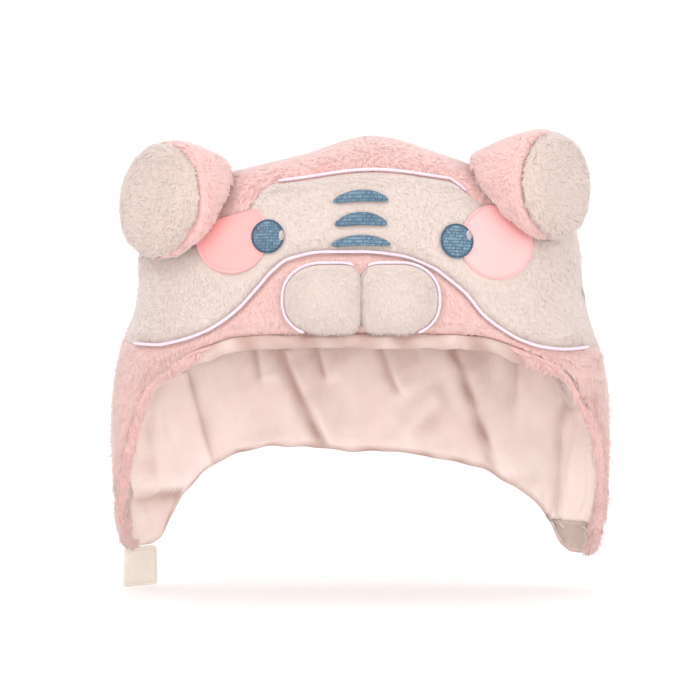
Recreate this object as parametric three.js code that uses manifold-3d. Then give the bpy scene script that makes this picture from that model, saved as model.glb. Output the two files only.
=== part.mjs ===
// A plush tiger cap with ear flaps, for a child: sewn plush panels over a gathered lining.
// Millimetres, +Z up, and the face looks along -Y. The origin is the top of the lining's
// inside, where the cap sits on a head.
//
// Everything is laid on one seam surface. A place on it is an angle round the cap, in degrees
// from the middle of the face and positive towards +X, and a fall: 0 at the top of the crown,
// 1 at the brow and 2 at the tip of an ear flap.
import * as THREE from "three";
import { mergeVertices } from "three/addons/utils/BufferGeometryUtils.js";
import Module from "manifold-3d";

const wasm = await Module();
wasm.setup();

// The cap's own sizes, on the seam surface between plush and lining
const halfWidth = 120;
const halfDepth = 56;
const crownHeight = 91;
const flapLengthLeft = 105;
const flapLengthRight = 109;
const planPower = 2.3;
const humpHeight = 15;
const humpHalfWidth = 37;
const humpHalfDepth = 45;
const humpAcross = 6;
const humpFadeFrom = 0.1;
const humpFadeTo = 0.7;

// Plush, lining and the gap kept between two neighbours
const pile = 5;
const seamPile = 2.2;
const seamRoll = 8;
const liningWall = 1.5;
const liningEase = 2;
const liningEaseFrom = 0.85;
const gap = 0.35;
const hemFront = 7;
const hemBack = 3;
const hemReachFront = 4;
const hemReachBack = 2.6;
const hemFrontAngle = 35;
const hemBackAngle = 60;
const foldDepth = 5.5;

// Trim laid on the plush, with the share of its thickness left at its edge
const pipingThickness = 2.2;
const pipingSides = 6;
const patchThickness = 1.2;
const threadThickness = 1.4;
const trimEdge = 0.55;

// Features of the face, placed by their share of half the width and of the crown's height
const muzzleHalfWidth = 19.3;
const muzzleHalfHeight = 17.6;
const muzzleRise = 8;
const muzzleEdge = 1.6;
const muzzleDome = 2.6;
const muzzleFall = 0.739;
const muzzlePipingFrom = 25;
const muzzlePipingTo = 216;
const cheekRadius = 18;
const eyeRadius = 8;
const faceSideAngle = 86;
const facePipingAngle = 68;
const crownPipingAngle = 23.5;
const crownPipingSink = 0.7;

// How square the muzzle's halves are on their round outer side and along the middle: the
// power of the sine across, and of the cosine up
const muzzleCorners = { outer: { across: 0.95, up: 0.85 }, inner: { across: 0.35, up: 0.45 } };

// Forehead stripes from the top down, as shares of their own length and height
const stripeLength = 27;
const stripeHeight = 5.4;
const stripes = [
  { fall: 0.232, length: 1, height: 0.9, arch: 0.3 },
  { fall: 0.335, length: 0.96, height: 1.1, arch: 0.4 },
  { fall: 0.438, length: 1.08, height: 0.95, arch: 0.34 },
];

// Ears: a cream cup on a pink root, which runs back and inwards to the crown
const earRadius = 28;
const earRoot = 44;
const earRootInwards = 15;
const earRootUp = 4;
const earCupRise = 15;
const earDimple = 11;
const earDimpleShare = 0.4;
const earForward = 0.8;
const earGap = 0.8;
const sides = [
  {
    name: "left",
    side: -1,
    eyeAcross: 0.382,
    eyeFall: 0.404,
    cheekAcross: 0.531,
    cheekFall: 0.398,
    earAcross: 0.83,
    earUp: 0.8,
    earTurn: 38,
    earSize: 1.03,
    earDroop: 0.16,
  },
  {
    name: "right",
    side: 1,
    eyeAcross: 0.393,
    eyeFall: 0.43,
    cheekAcross: 0.558,
    cheekFall: 0.43,
    earAcross: 0.805,
    earUp: 0.89,
    earTurn: 46,
    earSize: 1.03,
    earDroop: 0.06,
  },
];

// Rings of an ear's root from its tip forwards: how far back, and the share of the radius
const earRings = [
  { back: 1, size: 0.16 },
  { back: 0.93, size: 0.36 },
  { back: 0.76, size: 0.54 },
  { back: 0.56, size: 0.7 },
  { back: 0.32, size: 0.87 },
  { back: 0.12, size: 0.97 },
  { back: 0, size: 1 },
];
const earCupRings = [0.93, 0.8, 0.62, 0.4, 0.2, 0];

// Strap tab on the left flap, and the fastener patch inside the right flap
const tabWidth = 25;
const tabLength = 21;
const tabThickness = 1.8;
const tabAngle = -110;
const patchFrom = 92;
const patchTo = 127;
const patchHeight = 15;
const patchAboveRim = 2.5;
const fastenerThickness = 1;

// Sections of the seam surface, with half width and half depth as shares of the cap's own
const sections = [
  { fall: 0, width: 0, depth: 0 },
  { fall: 0.006, width: 0.3, depth: 0.26 },
  { fall: 0.035, width: 0.58, depth: 0.49 },
  { fall: 0.11, width: 0.77, depth: 0.68 },
  { fall: 0.25, width: 0.875, depth: 0.83 },
  { fall: 0.45, width: 0.925, depth: 0.93 },
  { fall: 0.68, width: 0.935, depth: 0.985 },
  { fall: 0.86, width: 0.965, depth: 1 },
  { fall: 1, width: 1.01, depth: 1 },
  { fall: 1.2, width: 1.045, depth: 1 },
  { fall: 1.6, width: 1.05, depth: 0.985 },
  { fall: 2, width: 1.025, depth: 0.93 },
];

// The rim on the left and on the right, as a share of the flap's length below the brow
const rim = [
  { angle: 0, left: 0, right: 0 },
  { angle: 25, left: 0.01, right: 0.01 },
  { angle: 37, left: 0.065, right: 0.065 },
  { angle: 46, left: 0.12, right: 0.1 },
  { angle: 54, left: 0.18, right: 0.14 },
  { angle: 61, left: 0.34, right: 0.25 },
  { angle: 67, left: 0.51, right: 0.365 },
  { angle: 73, left: 0.64, right: 0.48 },
  { angle: 80, left: 0.77, right: 0.635 },
  { angle: 87, left: 0.89, right: 0.8 },
  { angle: 94, left: 0.97, right: 0.93 },
  { angle: 102, left: 1, right: 1 },
  { angle: 114, left: 1, right: 1 },
  { angle: 121, left: 0.97, right: 0.96 },
  { angle: 127, left: 0.86, right: 0.85 },
  { angle: 134, left: 0.72, right: 0.755 },
  { angle: 144, left: 0.6, right: 0.67 },
  { angle: 152, left: 0.54, right: 0.605 },
  { angle: 163, left: 0.5, right: 0.56 },
  { angle: 172, left: 0.505, right: 0.535 },
  { angle: 180, left: 0.525, right: 0.525 },
];

// The seam between crown and face, which dips under the front of each ear
const crownSeam = [
  { angle: 0, left: 0.11, right: 0.11 },
  { angle: 25, left: 0.11, right: 0.11 },
  { angle: 31, left: 0.33, right: 0.2 },
  { angle: 37, left: 0.41, right: 0.26 },
  { angle: 44, left: 0.41, right: 0.32 },
  { angle: 54, left: 0.34, right: 0.32 },
  { angle: 66, left: 0.2, right: 0.22 },
  { angle: 78, left: 0.115, right: 0.12 },
  { angle: 86, left: 0.11, right: 0.11 },
  { angle: 180, left: 0.11, right: 0.11 },
];

// The curved seam under the face, against how far across the cap it is
const faceSeam = [
  { across: 0, left: 0.49, right: 0.49 },
  { across: 0.17, left: 0.488, right: 0.508 },
  { across: 0.32, left: 0.52, right: 0.57 },
  { across: 0.39, left: 0.58, right: 0.63 },
  { across: 0.46, left: 0.68, right: 0.705 },
  { across: 0.53, left: 0.785, right: 0.825 },
  { across: 0.6, left: 0.865, right: 0.905 },
  { across: 0.66, left: 0.918, right: 0.96 },
  { across: 0.75, left: 0.965, right: 1 },
  { across: 0.84, left: 0.99, right: 1.01 },
  { across: 0.93, left: 0.985, right: 1.003 },
  { across: 1, left: 0.965, right: 0.985 },
];

// Folds of the lining: where each starts, how it leans, its share of the depth, and its extent
const folds = [
  { angle: -164, lean: -12, depth: 1, width: 5, from: 0.8, to: 1.49 },
  { angle: -171, lean: 1, depth: 0.5, width: 3.5, from: 0.75, to: 1.16 },
  { angle: 176, lean: -5, depth: 0.6, width: 3.5, from: 0.75, to: 1.22 },
  { angle: 161, lean: -9, depth: 1, width: 5, from: 0.8, to: 1.54 },
  { angle: -131, lean: -13, depth: 0.8, width: 5, from: 0.8, to: 1.56 },
  { angle: 123, lean: -12, depth: 0.9, width: 6, from: 0.85, to: 1.4 },
  { angle: 142, lean: -4, depth: 0.45, width: 5, from: 0.9, to: 1.6 },
  { angle: -98, lean: 5, depth: 0.45, width: 7, from: 0.95, to: 1.8 },
];

// The rolled hem's section from the inside round to the outside: how far out, and how high
const hemSection = [
  { out: 0, up: 0.4 },
  { out: 0.24, up: 0.02 },
  { out: 0.55, up: 0 },
  { out: 0.94, up: 0.25 },
  { out: 1, up: 0.6 },
  { out: 0.9, up: 0.95 },
];

// Facets: the columns of the face and of the back, the rows of each panel, and how many
// facets each smaller shape has round it or along it
const faceFacets = 28;
const backFacets = 30;
const crownRows = [0, 0.3, 0.6, 0.85, 1];
const facePanelRows = 6;
const muzzleBandRows = 4;
const backPanelRows = 8;
const liningRows = [0, 0.18, 0.34, 0.46, 0.56, 0.66, 0.76, 0.86, 0.94, 1];
const patchRows = 3;
const padFacets = 16;
const stripeFacets = 18;
const muzzleFacets = 20;
const earFacets = 18;
const crownPipingFacets = 20;
const facePipingFacets = 48;
const muzzlePipingFacets = 22;

// The room cut out of the ears reaches to this fall and this far under the seam surface
const roomFall = 1.1;
const roomDepth = 14;
const roomFacets = 60;
const roomRows = 14;

const materials = {
  pink: new THREE.MeshStandardMaterial({ color: 0xf4c4c2, roughness: 0.95, metalness: 0 }),
  cream: new THREE.MeshStandardMaterial({ color: 0xf0e2d8, roughness: 0.95, metalness: 0 }),
  lining: new THREE.MeshStandardMaterial({ color: 0xf0d6cc, roughness: 0.85, metalness: 0 }),
  satin: new THREE.MeshStandardMaterial({ color: 0xffc9c8, roughness: 0.55, metalness: 0 }),
  thread: new THREE.MeshStandardMaterial({ color: 0x4f7ea0, roughness: 0.6, metalness: 0 }),
  piping: new THREE.MeshStandardMaterial({ color: 0xf6e8f2, roughness: 0.6, metalness: 0 }),
  tape: new THREE.MeshStandardMaterial({ color: 0xeedfd2, roughness: 0.9, metalness: 0 }),
  loop: new THREE.MeshStandardMaterial({ color: 0xd9bdb6, roughness: 0.95, metalness: 0 }),
};

const radians = THREE.MathUtils.degToRad;
const degrees = THREE.MathUtils.radToDeg;
const { clamp, lerp, smoothstep } = THREE.MathUtils;

// The hump of the crown, which fades out down the face.
function humpAt(x, y, fall) {
  const spread = ((x - humpAcross) / humpHalfWidth) ** 2 + (y / humpHalfDepth) ** 2;
  return humpHeight * Math.exp(-spread) * (1 - smoothstep(fall, humpFadeFrom, humpFadeTo));
}

const domeTop = liningWall + liningEase + gap / 2 - humpAt(0, 0, 0);
const browHeight = domeTop - crownHeight;

// The smooth value of a table's column at a place, with no overshoot between rows.
function readTable(rows, key, column, at) {
  const last = rows.length - 1;
  let i = 0;
  while (i < last - 1 && at > rows[i + 1][key]) i += 1;
  const step = (k) => rows[k + 1][key] - rows[k][key];
  const secant = (k) => (rows[k + 1][column] - rows[k][column]) / step(k);
  const slope = (k) => {
    if (k === 0 || k === last) return 0;
    const [before, after] = [secant(k - 1), secant(k)];
    return before * after <= 0 ? 0 : (2 * before * after) / (before + after);
  };
  const t = clamp((at - rows[i][key]) / step(i), 0, 1);
  const [t2, t3] = [t * t, t * t * t];
  return (
    rows[i][column] * (2 * t3 - 3 * t2 + 1) +
    slope(i) * step(i) * (t3 - 2 * t2 + t) +
    rows[i + 1][column] * (3 * t2 - 2 * t3) +
    slope(i + 1) * step(i) * (t3 - t2)
  );
}

// The girth of the seam surface as a curve down the sections: x is the share of the width,
// y the share of the depth and z the fall.
const girth = new THREE.CatmullRomCurve3(
  sections.map((s) => new THREE.Vector3(s.width, s.depth, s.fall)),
  false,
  "centripetal",
);

// How far along the girth curve a fall is reached.
function stationAt(fall) {
  let [low, high] = [0, 1];
  for (let i = 0; i < 30; i += 1) {
    const middle = (low + high) / 2;
    if (girth.getPoint(middle).z < fall) low = middle;
    else high = middle;
  }
  return (low + high) / 2;
}

// The flap's length at an angle, from the left one's to the right one's.
function flapLength(angle) {
  return lerp(flapLengthLeft, flapLengthRight, (1 + Math.sin(radians(angle))) / 2);
}

function heightAt(fall, angle) {
  return domeTop - crownHeight * Math.min(fall, 1) - flapLength(angle) * Math.max(fall - 1, 0);
}

function fallAt(height, angle) {
  if (height > browHeight) return (domeTop - height) / crownHeight;
  return 1 + (browHeight - height) / flapLength(angle);
}

// A point of the seam surface at a station of the girth curve.
function seamPoint(angle, station) {
  const { x: width, y: depth, z: fall } = girth.getPoint(clamp(station, 0, 1));
  const bend = (v) => Math.sign(v) * Math.abs(v) ** (2 / planPower);
  const x = halfWidth * width * bend(Math.sin(radians(angle)));
  const y = -halfDepth * depth * bend(Math.cos(radians(angle)));
  return new THREE.Vector3(x, y, heightAt(fall, angle) + humpAt(x, y, fall));
}

// A point lifted off the seam surface along its outward normal.
function lifted(angle, station, lift) {
  const at = seamPoint(angle, station);
  if (station < 1e-6) return at.add(new THREE.Vector3(0, 0, lift));
  const round = seamPoint(angle + 0.5, station).sub(seamPoint(angle - 0.5, station));
  const nudge = 0.004;
  const down = seamPoint(angle, station + nudge).sub(seamPoint(angle, station - nudge));
  return at.addScaledVector(down.cross(round).normalize(), lift);
}

const onShell = (angle, fall, lift) => lifted(angle, stationAt(fall), lift);

// How far across the cap an angle is, and back again.
const acrossAt = (angle) => Math.abs(Math.sin(radians(angle))) ** (2 / planPower);
const angleAt = (across) =>
  Math.sign(across) * degrees(Math.asin(Math.min(Math.abs(across), 1) ** (planPower / 2)));

// A point over the face, from its distance across and its height in millimetres.
function onFace(x, z, lift) {
  const station = stationAt(fallAt(z, 0));
  const width = halfWidth * girth.getPoint(station).x;
  return lifted(angleAt(x / width), station, lift);
}

// An angle counted from the middle of the face, between -180 and 180.
const wrapped = (angle) => ((angle + 540) % 360) - 180;
const sideOf = (angle) => (wrapped(angle) < 0 ? "left" : "right");

function rimFall(angle) {
  return 1 + readTable(rim, "angle", sideOf(angle), Math.abs(wrapped(angle)));
}

function crownSeamFall(angle) {
  return readTable(crownSeam, "angle", sideOf(angle), Math.abs(wrapped(angle)));
}

function seamFall(angle) {
  return readTable(faceSeam, "across", sideOf(angle), acrossAt(angle));
}

// How much longer an upright step is than one square to the rim, where the rim slopes.
function rimStretch(angle) {
  const edge = (a) => onShell(a, rimFall(a), 0);
  const along = edge(angle + 1).sub(edge(angle - 1));
  return along.length() / Math.hypot(along.x, along.y);
}

// A size of the rolled hem, from its front one to the one round the flaps and the back.
function hemSize(front, back, angle) {
  return lerp(front, back, smoothstep(Math.abs(wrapped(angle)), hemFrontAngle, hemBackAngle));
}

const hemHeight = (angle) => hemSize(hemFront, hemBack, angle) * rimStretch(angle);
const hemReach = (angle) => hemSize(hemReachFront, hemReachBack, angle);

const steps = (count) => Array.from({ length: count + 1 }, (_, i) => i / count);

// One closed geometry from triangle corners, with the shared corners merged.
function weld(corners) {
  const flat = corners.flatMap((v) => [v.x, v.y, v.z]);
  const loose = new THREE.BufferGeometry();
  loose.setAttribute("position", new THREE.Float32BufferAttribute(flat, 3));
  const merged = mergeVertices(loose, 2e-3);
  const index = [];
  for (let i = 0; i < merged.index.count; i += 3) {
    const [a, b, c] = [0, 1, 2].map((k) => merged.index.getX(i + k));
    if (a !== b && b !== c && c !== a) index.push(a, b, c);
  }
  merged.setIndex(index);
  merged.computeVertexNormals();
  return merged;
}

// A closed solid between two grids of points, given as rows that run down the cap. A ring
// closes on itself, and a pole's first row is one point.
function betweenGrids(outer, inner, { ring = false, pole = false } = {}) {
  const corners = [];
  const quad = (a, b, c, d) => corners.push(a, b, c, a, c, d);
  const [lastRow, lastColumn] = [outer.length - 1, outer[0].length - 1];
  for (let r = 0; r < lastRow; r += 1) {
    for (let c = 0; c < lastColumn; c += 1) {
      quad(outer[r][c], outer[r + 1][c], outer[r + 1][c + 1], outer[r][c + 1]);
      quad(inner[r][c], inner[r][c + 1], inner[r + 1][c + 1], inner[r + 1][c]);
    }
    if (ring) continue;
    quad(outer[r][0], inner[r][0], inner[r + 1][0], outer[r + 1][0]);
    const [o, i] = [outer, inner].map((grid) => grid.map((row) => row[lastColumn]));
    quad(o[r], o[r + 1], i[r + 1], i[r]);
  }
  for (let c = 0; c < lastColumn; c += 1) {
    const [o, i] = [outer[lastRow], inner[lastRow]];
    quad(o[c], i[c], i[c + 1], o[c + 1]);
    if (!pole) quad(outer[0][c], outer[0][c + 1], inner[0][c + 1], inner[0][c]);
  }
  return weld(corners);
}

// Plush thickness at a distance from the nearest seam, rolled over like a cushion's edge.
function pileAt(distance) {
  const t = clamp(distance / seamRoll, 0, 1);
  return lerp(seamPile, pile, Math.sin((Math.PI / 2) * t));
}

// A sewn panel of plush between two seams, over a run of angles.
function plushPanel({ angles, rows, top, bottom, sides = true, pole = false }) {
  const [outer, inner] = [[], []];
  const ends = [angles[0], angles[angles.length - 1]];
  const walk = (angle) => radians(Math.min(angle - ends[0], ends[1] - angle)) * halfDepth;
  for (const t of rows) {
    outer.push([]);
    inner.push([]);
    for (const angle of angles) {
      const [high, low] = [top(angle), bottom(angle)].map(stationAt);
      const station = lerp(high, low, t);
      const at = seamPoint(angle, station);
      const toTop = pole ? Infinity : at.distanceTo(seamPoint(angle, high));
      const toSide = sides ? Math.max(walk(angle), 0) : Infinity;
      const distance = Math.min(toTop, at.distanceTo(seamPoint(angle, low)), toSide);
      outer[outer.length - 1].push(lifted(angle, station, gap / 2 + pileAt(distance)));
      inner[inner.length - 1].push(lifted(angle, station, gap / 2));
    }
  }
  return betweenGrids(outer, inner, { ring: !sides, pole });
}

const span = (from, to, count) => steps(count).map((t) => lerp(from, to, t));
const seamRows = (count) => [0, 0.07, ...steps(count).slice(1, -1), 0.93, 1];
const halfGapAs = (size) => gap / 2 / size;

// Columns of the panels, which the lining shares so that hem and plush run side by side.
const rollAngle = degrees(seamRoll / 2 / halfDepth);
const columns = (from, to, count) => [from, ...span(from + rollAngle, to - rollAngle, count), to];
const faceColumns = columns(-faceSideAngle, faceSideAngle, faceFacets);
const backColumns = columns(faceSideAngle, 360 - faceSideAngle, backFacets);
const allColumns = [...faceColumns, ...backColumns.slice(1)];

// Columns with the first and last drawn in, to leave the gap at a side seam.
function drawnIn(angles) {
  const seam = degrees(gap / 2 / halfDepth);
  return [angles[0] + seam, ...angles.slice(1, -1), angles[angles.length - 1] - seam];
}

function crownPanel() {
  return plushPanel({
    angles: allColumns,
    rows: crownRows,
    top: () => 0,
    bottom: (angle) => crownSeamFall(angle) - halfGapAs(crownHeight),
    sides: false,
    pole: true,
  });
}

function facePanel() {
  return plushPanel({
    angles: drawnIn(faceColumns),
    rows: seamRows(facePanelRows),
    top: (angle) => crownSeamFall(angle) + halfGapAs(crownHeight),
    bottom: (angle) => seamFall(angle) - gap / crownHeight,
  });
}

// Where a plush panel ends above the rolled hem.
function hemTop(angle) {
  const up = hemHeight(angle) + 2 * gap * rimStretch(angle);
  return fallAt(heightAt(rimFall(angle), angle) + up, angle);
}

function muzzleBand() {
  return plushPanel({
    angles: drawnIn(faceColumns),
    rows: seamRows(muzzleBandRows),
    top: (angle) => seamFall(angle) + gap / crownHeight,
    bottom: hemTop,
  });
}

function backPanel() {
  return plushPanel({
    angles: drawnIn(backColumns),
    rows: seamRows(backPanelRows),
    top: (angle) => crownSeamFall(angle) + halfGapAs(crownHeight),
    bottom: hemTop,
  });
}

// How far the lining is folded inwards.
function foldAt(angle, fall) {
  return folds.reduce((sum, fold) => {
    const down = (fall - fold.from) / (fold.to - fold.from);
    if (down < 0 || down > 1) return sum;
    const aside = wrapped(angle - fold.angle - fold.lean * down) / fold.width;
    return sum + foldDepth * fold.depth * Math.sqrt(Math.sin(Math.PI * down)) * Math.exp(-aside * aside);
  }, 0);
}

// How deep the lining's outside lies under the seam surface: loose in the crown, and folded.
function liningDepth(angle, fall) {
  const ease = liningEase * (1 - smoothstep(fall, liningEaseFrom, hemTop(angle)));
  return gap / 2 + ease + foldAt(angle, fall);
}

// The lining goes down inside the plush, turns out round the rim as the hem and goes back up.
function lining() {
  const angles = allColumns;
  const skin = (depth) =>
    liningRows.map((t) =>
      angles.map((angle) => {
        const station = t * stationAt(hemTop(angle));
        return lifted(angle, station, -depth - liningDepth(angle, girth.getPoint(station).z));
      }),
    );
  const hem = hemSection.map(({ out, up }) =>
    angles.map((angle) => {
      const height = heightAt(rimFall(angle), angle) + up * hemHeight(angle);
      const lift = lerp(-gap / 2 - liningWall, hemReach(angle), out);
      return onShell(angle, fallAt(height, angle), lift);
    }),
  );
  return closedRings([...skin(0), ...hem.reverse(), ...skin(liningWall).reverse()]);
}

// A pad laid on the face: flat underneath, and domed on top from its edge up to its rise.
function pad({ x, z, outline, base, edge, rise, rings, spokes = padFacets, dome = 2 }) {
  const layer = (t, lift) =>
    span(0, 2 * Math.PI, spokes).map((a) => {
      const [dx, dz] = outline(a);
      return onFace(x + dx * t, z + dz * t, lift);
    });
  const rows = steps(rings);
  const outer = rows.map((t) => layer(t, base + edge + (rise - edge) * (1 - t ** dome)));
  const inner = rows.map((t) => layer(t, base));
  return betweenGrids(outer, inner, { ring: true, pole: true });
}

const circle = (radius) => (a) => [radius * Math.sin(a), -radius * Math.cos(a)];
const faceZ = (fall) => domeTop - fall * crownHeight;
const trimLift = gap / 2 + pile + gap;

// An eye of satin stitch, or the room that it takes with a clearance all round.
function eye({ side, eyeAcross, eyeFall }, clearance = 0) {
  return pad({
    x: side * eyeAcross * halfWidth,
    z: faceZ(eyeFall),
    outline: circle(eyeRadius + clearance),
    base: trimLift - clearance,
    edge: threadThickness * trimEdge + 2 * clearance,
    rise: threadThickness + 2 * clearance,
    rings: 2,
  });
}

// A cheek patch, or the room that it takes with a clearance all round.
function cheekShape({ side, cheekAcross, cheekFall }, clearance = 0) {
  return pad({
    x: side * cheekAcross * halfWidth,
    z: faceZ(cheekFall),
    outline: circle(cheekRadius + clearance),
    base: trimLift - clearance,
    edge: patchThickness * trimEdge + 2 * clearance,
    rise: patchThickness + 2 * clearance,
    rings: 3,
  });
}

// The cheek is cut away where the eye is sewn over its edge.
function cheek(row) {
  return mainPiece(toSolid(cheekShape(row)).subtract(toSolid(eye(row, gap))));
}

// A stripe is pointed at both ends and arched over its middle.
function stripe({ fall, length, height, arch }) {
  const outline = (a) => {
    const [s, c] = [Math.sin(a), -Math.cos(a)];
    return [(stripeLength / 2) * length * s, stripeHeight * ((height / 2) * c - arch * s * s)];
  };
  return pad({
    x: 0,
    z: faceZ(fall),
    outline,
    base: trimLift,
    edge: threadThickness * trimEdge,
    rise: threadThickness,
    rings: 2,
    spokes: stripeFacets,
  });
}

// The outline of one half of the muzzle: round outside, nearly straight along the middle.
function muzzleOutline(side, inset) {
  return (a) => {
    const [s, c] = [Math.sin(a), -Math.cos(a)];
    const outward = s * side > 0;
    const corners = outward ? muzzleCorners.outer : muzzleCorners.inner;
    const reach = muzzleHalfWidth - (outward ? inset : gap / 2);
    const x = Math.sign(s) * Math.abs(s) ** corners.across * reach;
    const z = Math.sign(c) * Math.abs(c) ** corners.up * (muzzleHalfHeight - inset);
    return [x, z];
  };
}

function muzzle(side) {
  return pad({
    x: side * muzzleHalfWidth,
    z: faceZ(muzzleFall),
    outline: muzzleOutline(side, pipingThickness / 2 + gap),
    base: trimLift,
    edge: muzzleEdge,
    rise: muzzleRise,
    rings: 4,
    spokes: muzzleFacets,
    dome: muzzleDome,
  });
}

// A round cord through points, or the room that it takes with a clearance all round.
function cord(points, clearance = 0) {
  const radius = pipingThickness / 2 + clearance;
  const corner = (a) => new THREE.Vector2(Math.cos(a), Math.sin(a)).multiplyScalar(radius);
  const section = new THREE.Shape(span(0, 2 * Math.PI, pipingSides).slice(1).map(corner));
  const extrudePath = new THREE.CatmullRomCurve3(points);
  const settings = { steps: points.length - 1, extrudePath, bevelEnabled: false };
  const made = new THREE.ExtrudeGeometry(section, settings);
  made.deleteAttribute("normal");
  made.deleteAttribute("uv");
  return made;
}

const cordLift = gap / 2 + pileAt(pipingThickness / 2 + gap) + gap + pipingThickness / 2;

function crownPiping(clearance = 0) {
  const angles = span(-crownPipingAngle, crownPipingAngle, crownPipingFacets);
  const lift = cordLift - crownPipingSink;
  return cord(angles.map((a) => onShell(a, crownSeamFall(a), lift)), clearance);
}

function facePiping() {
  const angles = span(-facePipingAngle, facePipingAngle, facePipingFacets);
  return cord(angles.map((a) => onShell(a, seamFall(a), cordLift)));
}

// The piping round one half of the muzzle, from the hem over the outside to the middle.
function muzzlePiping(side) {
  const reach = muzzleOutline(side, 0);
  const turns = span(radians(muzzlePipingFrom), radians(muzzlePipingTo), muzzlePipingFacets);
  const points = turns.map((a) => {
    const [dx, dz] = reach(side * a);
    const x = side * muzzleHalfWidth + dx;
    return onFace(x, faceZ(muzzleFall) + dz, trimLift + pipingThickness / 2);
  });
  return cord(points);
}

// A manifold-3d solid from a geometry, and back again.
function toSolid(geometry) {
  const bare = geometry.clone();
  bare.deleteAttribute("normal");
  const merged = mergeVertices(bare, 1e-3);
  return new wasm.Manifold(
    new wasm.Mesh({
      numProp: 3,
      vertProperties: new Float32Array(merged.attributes.position.array),
      triVerts: new Uint32Array(merged.index.array),
    }),
  );
}

function toGeometry(solid) {
  const { vertProperties, triVerts } = solid.getMesh();
  const made = new THREE.BufferGeometry();
  made.setAttribute("position", new THREE.Float32BufferAttribute(vertProperties, 3));
  made.setIndex([...triVerts]);
  made.computeVertexNormals();
  return made;
}

function mainPiece(solid) {
  const pieces = solid.decompose().sort((a, b) => b.volume() - a.volume());
  return toGeometry(pieces[0]);
}

// The room that crown and face take, with the gap that an ear keeps to them.
function crownRoom() {
  const angles = span(-180, 180, roomFacets);
  const rows = span(0, stationAt(roomFall), roomRows);
  const grid = (lift) => rows.map((station) => angles.map((a) => lifted(a, station, lift)));
  const inner = grid(-roomDepth);
  return toSolid(betweenGrids(grid(gap / 2 + pile + earGap), inner, { ring: true, pole: true }));
}

// An ear's middle, the way its cup faces, the way across it, and the way its root leaves.
function earFrame({ side, earAcross, earUp, earTurn }) {
  const turn = radians(earTurn);
  const facing = new THREE.Vector3(side * Math.sin(turn), -Math.cos(turn), 0);
  const up = new THREE.Vector3(0, 0, 1);
  const height = browHeight + earUp * crownHeight;
  const middle = new THREE.Vector3(side * earAcross * halfWidth, -earForward * halfDepth, height);
  const root = facing.clone().multiplyScalar(-earRoot);
  root.add(new THREE.Vector3(-side * earRootInwards, 0, earRootUp));
  return { middle, facing, up, wide: up.clone().cross(facing), root };
}

// One ring of an ear, square to the way that the cup faces, and fuller down and outwards.
function earRing(ear, at, radius) {
  const { up, wide } = earFrame(ear);
  return span(0, 2 * Math.PI, earFacets).map((a) => {
    const [across, rise] = [-Math.cos(a), Math.sin(a)];
    const droop = Math.max(0, (ear.side * across - rise) / Math.SQRT2) ** 2;
    const reach = radius * (1 + ear.earDroop * droop);
    return at.clone().addScaledVector(wide, reach * across).addScaledVector(up, reach * rise);
  });
}

// A closed solid through rings of points. Its first and last rings are single points, or its
// last ring meets its first.
function closedRings(rings) {
  const corners = [];
  for (let r = 0; r < rings.length - 1; r += 1) {
    for (let c = 0; c < rings[r].length - 1; c += 1) {
      const [a, b, d, e] = [rings[r][c], rings[r + 1][c], rings[r + 1][c + 1], rings[r][c + 1]];
      corners.push(a, b, d, a, d, e);
    }
  }
  return weld(corners);
}

function earBackShape(ear) {
  const { middle, root } = earFrame(ear);
  const radius = earRadius * ear.earSize;
  const ring = (back, size) => earRing(ear, middle.clone().addScaledVector(root, back), radius * size);
  return closedRings([ring(1, 0), ...earRings.map(({ back, size }) => ring(back, size)), ring(0, 0)]);
}

function earCupShape(ear) {
  const { middle, facing } = earFrame(ear);
  const radius = earRadius * ear.earSize;
  const ring = (out, size) => earRing(ear, middle.clone().addScaledVector(facing, gap + out), radius * size);
  const dome = (t) => earCupRise * Math.sqrt(1 - t * t) - earDimple * Math.exp(-((t / earDimpleShare) ** 2));
  return closedRings([ring(0, 0), ring(0, 1), ...earCupRings.map((t) => ring(dome(t), t))]);
}

function cutEar(shape, cutters) {
  return mainPiece(cutters.reduce((left, cutter) => left.subtract(cutter), toSolid(shape)));
}

// The way a piece of the rim faces, as a turn about the upright axis.
function facingAt(angle) {
  const out = onShell(angle, rimFall(angle), 1).sub(onShell(angle, rimFall(angle), 0));
  return Math.atan2(out.y, out.x) + Math.PI / 2;
}

function fastenerPatch() {
  const angles = allColumns.filter((angle) => angle > patchFrom && angle < patchTo);
  const tip = heightAt(2, (patchFrom + patchTo) / 2);
  const grid = (depth) =>
    steps(patchRows).map((t) =>
      angles.map((angle) => {
        const low = heightAt(rimFall(angle), angle) + patchAboveRim * rimStretch(angle);
        const fall = fallAt(lerp(tip + patchAboveRim + patchHeight, low, t), angle);
        return onShell(angle, fall, -liningDepth(angle, fall) - liningWall - 2 * gap - depth);
      }),
    );
  return betweenGrids(grid(0), grid(fastenerThickness));
}

// The model
const cap = new THREE.Group();

function addPiece(name, geometry, material) {
  const mesh = new THREE.Mesh(geometry, materials[material]);
  mesh.name = name;
  cap.add(mesh);
  return mesh;
}

addPiece("crown_panel", crownPanel(), "pink");
addPiece("face_panel", facePanel(), "cream");
addPiece("muzzle_band", muzzleBand(), "pink");
addPiece("back_panel", backPanel(), "pink");
addPiece("lining", lining(), "lining");
addPiece("crown_piping", crownPiping(), "piping");
addPiece("face_piping", facePiping(), "piping");
stripes.forEach((row, i) => addPiece(`stripe_${i + 1}`, stripe(row), "thread"));

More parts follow.
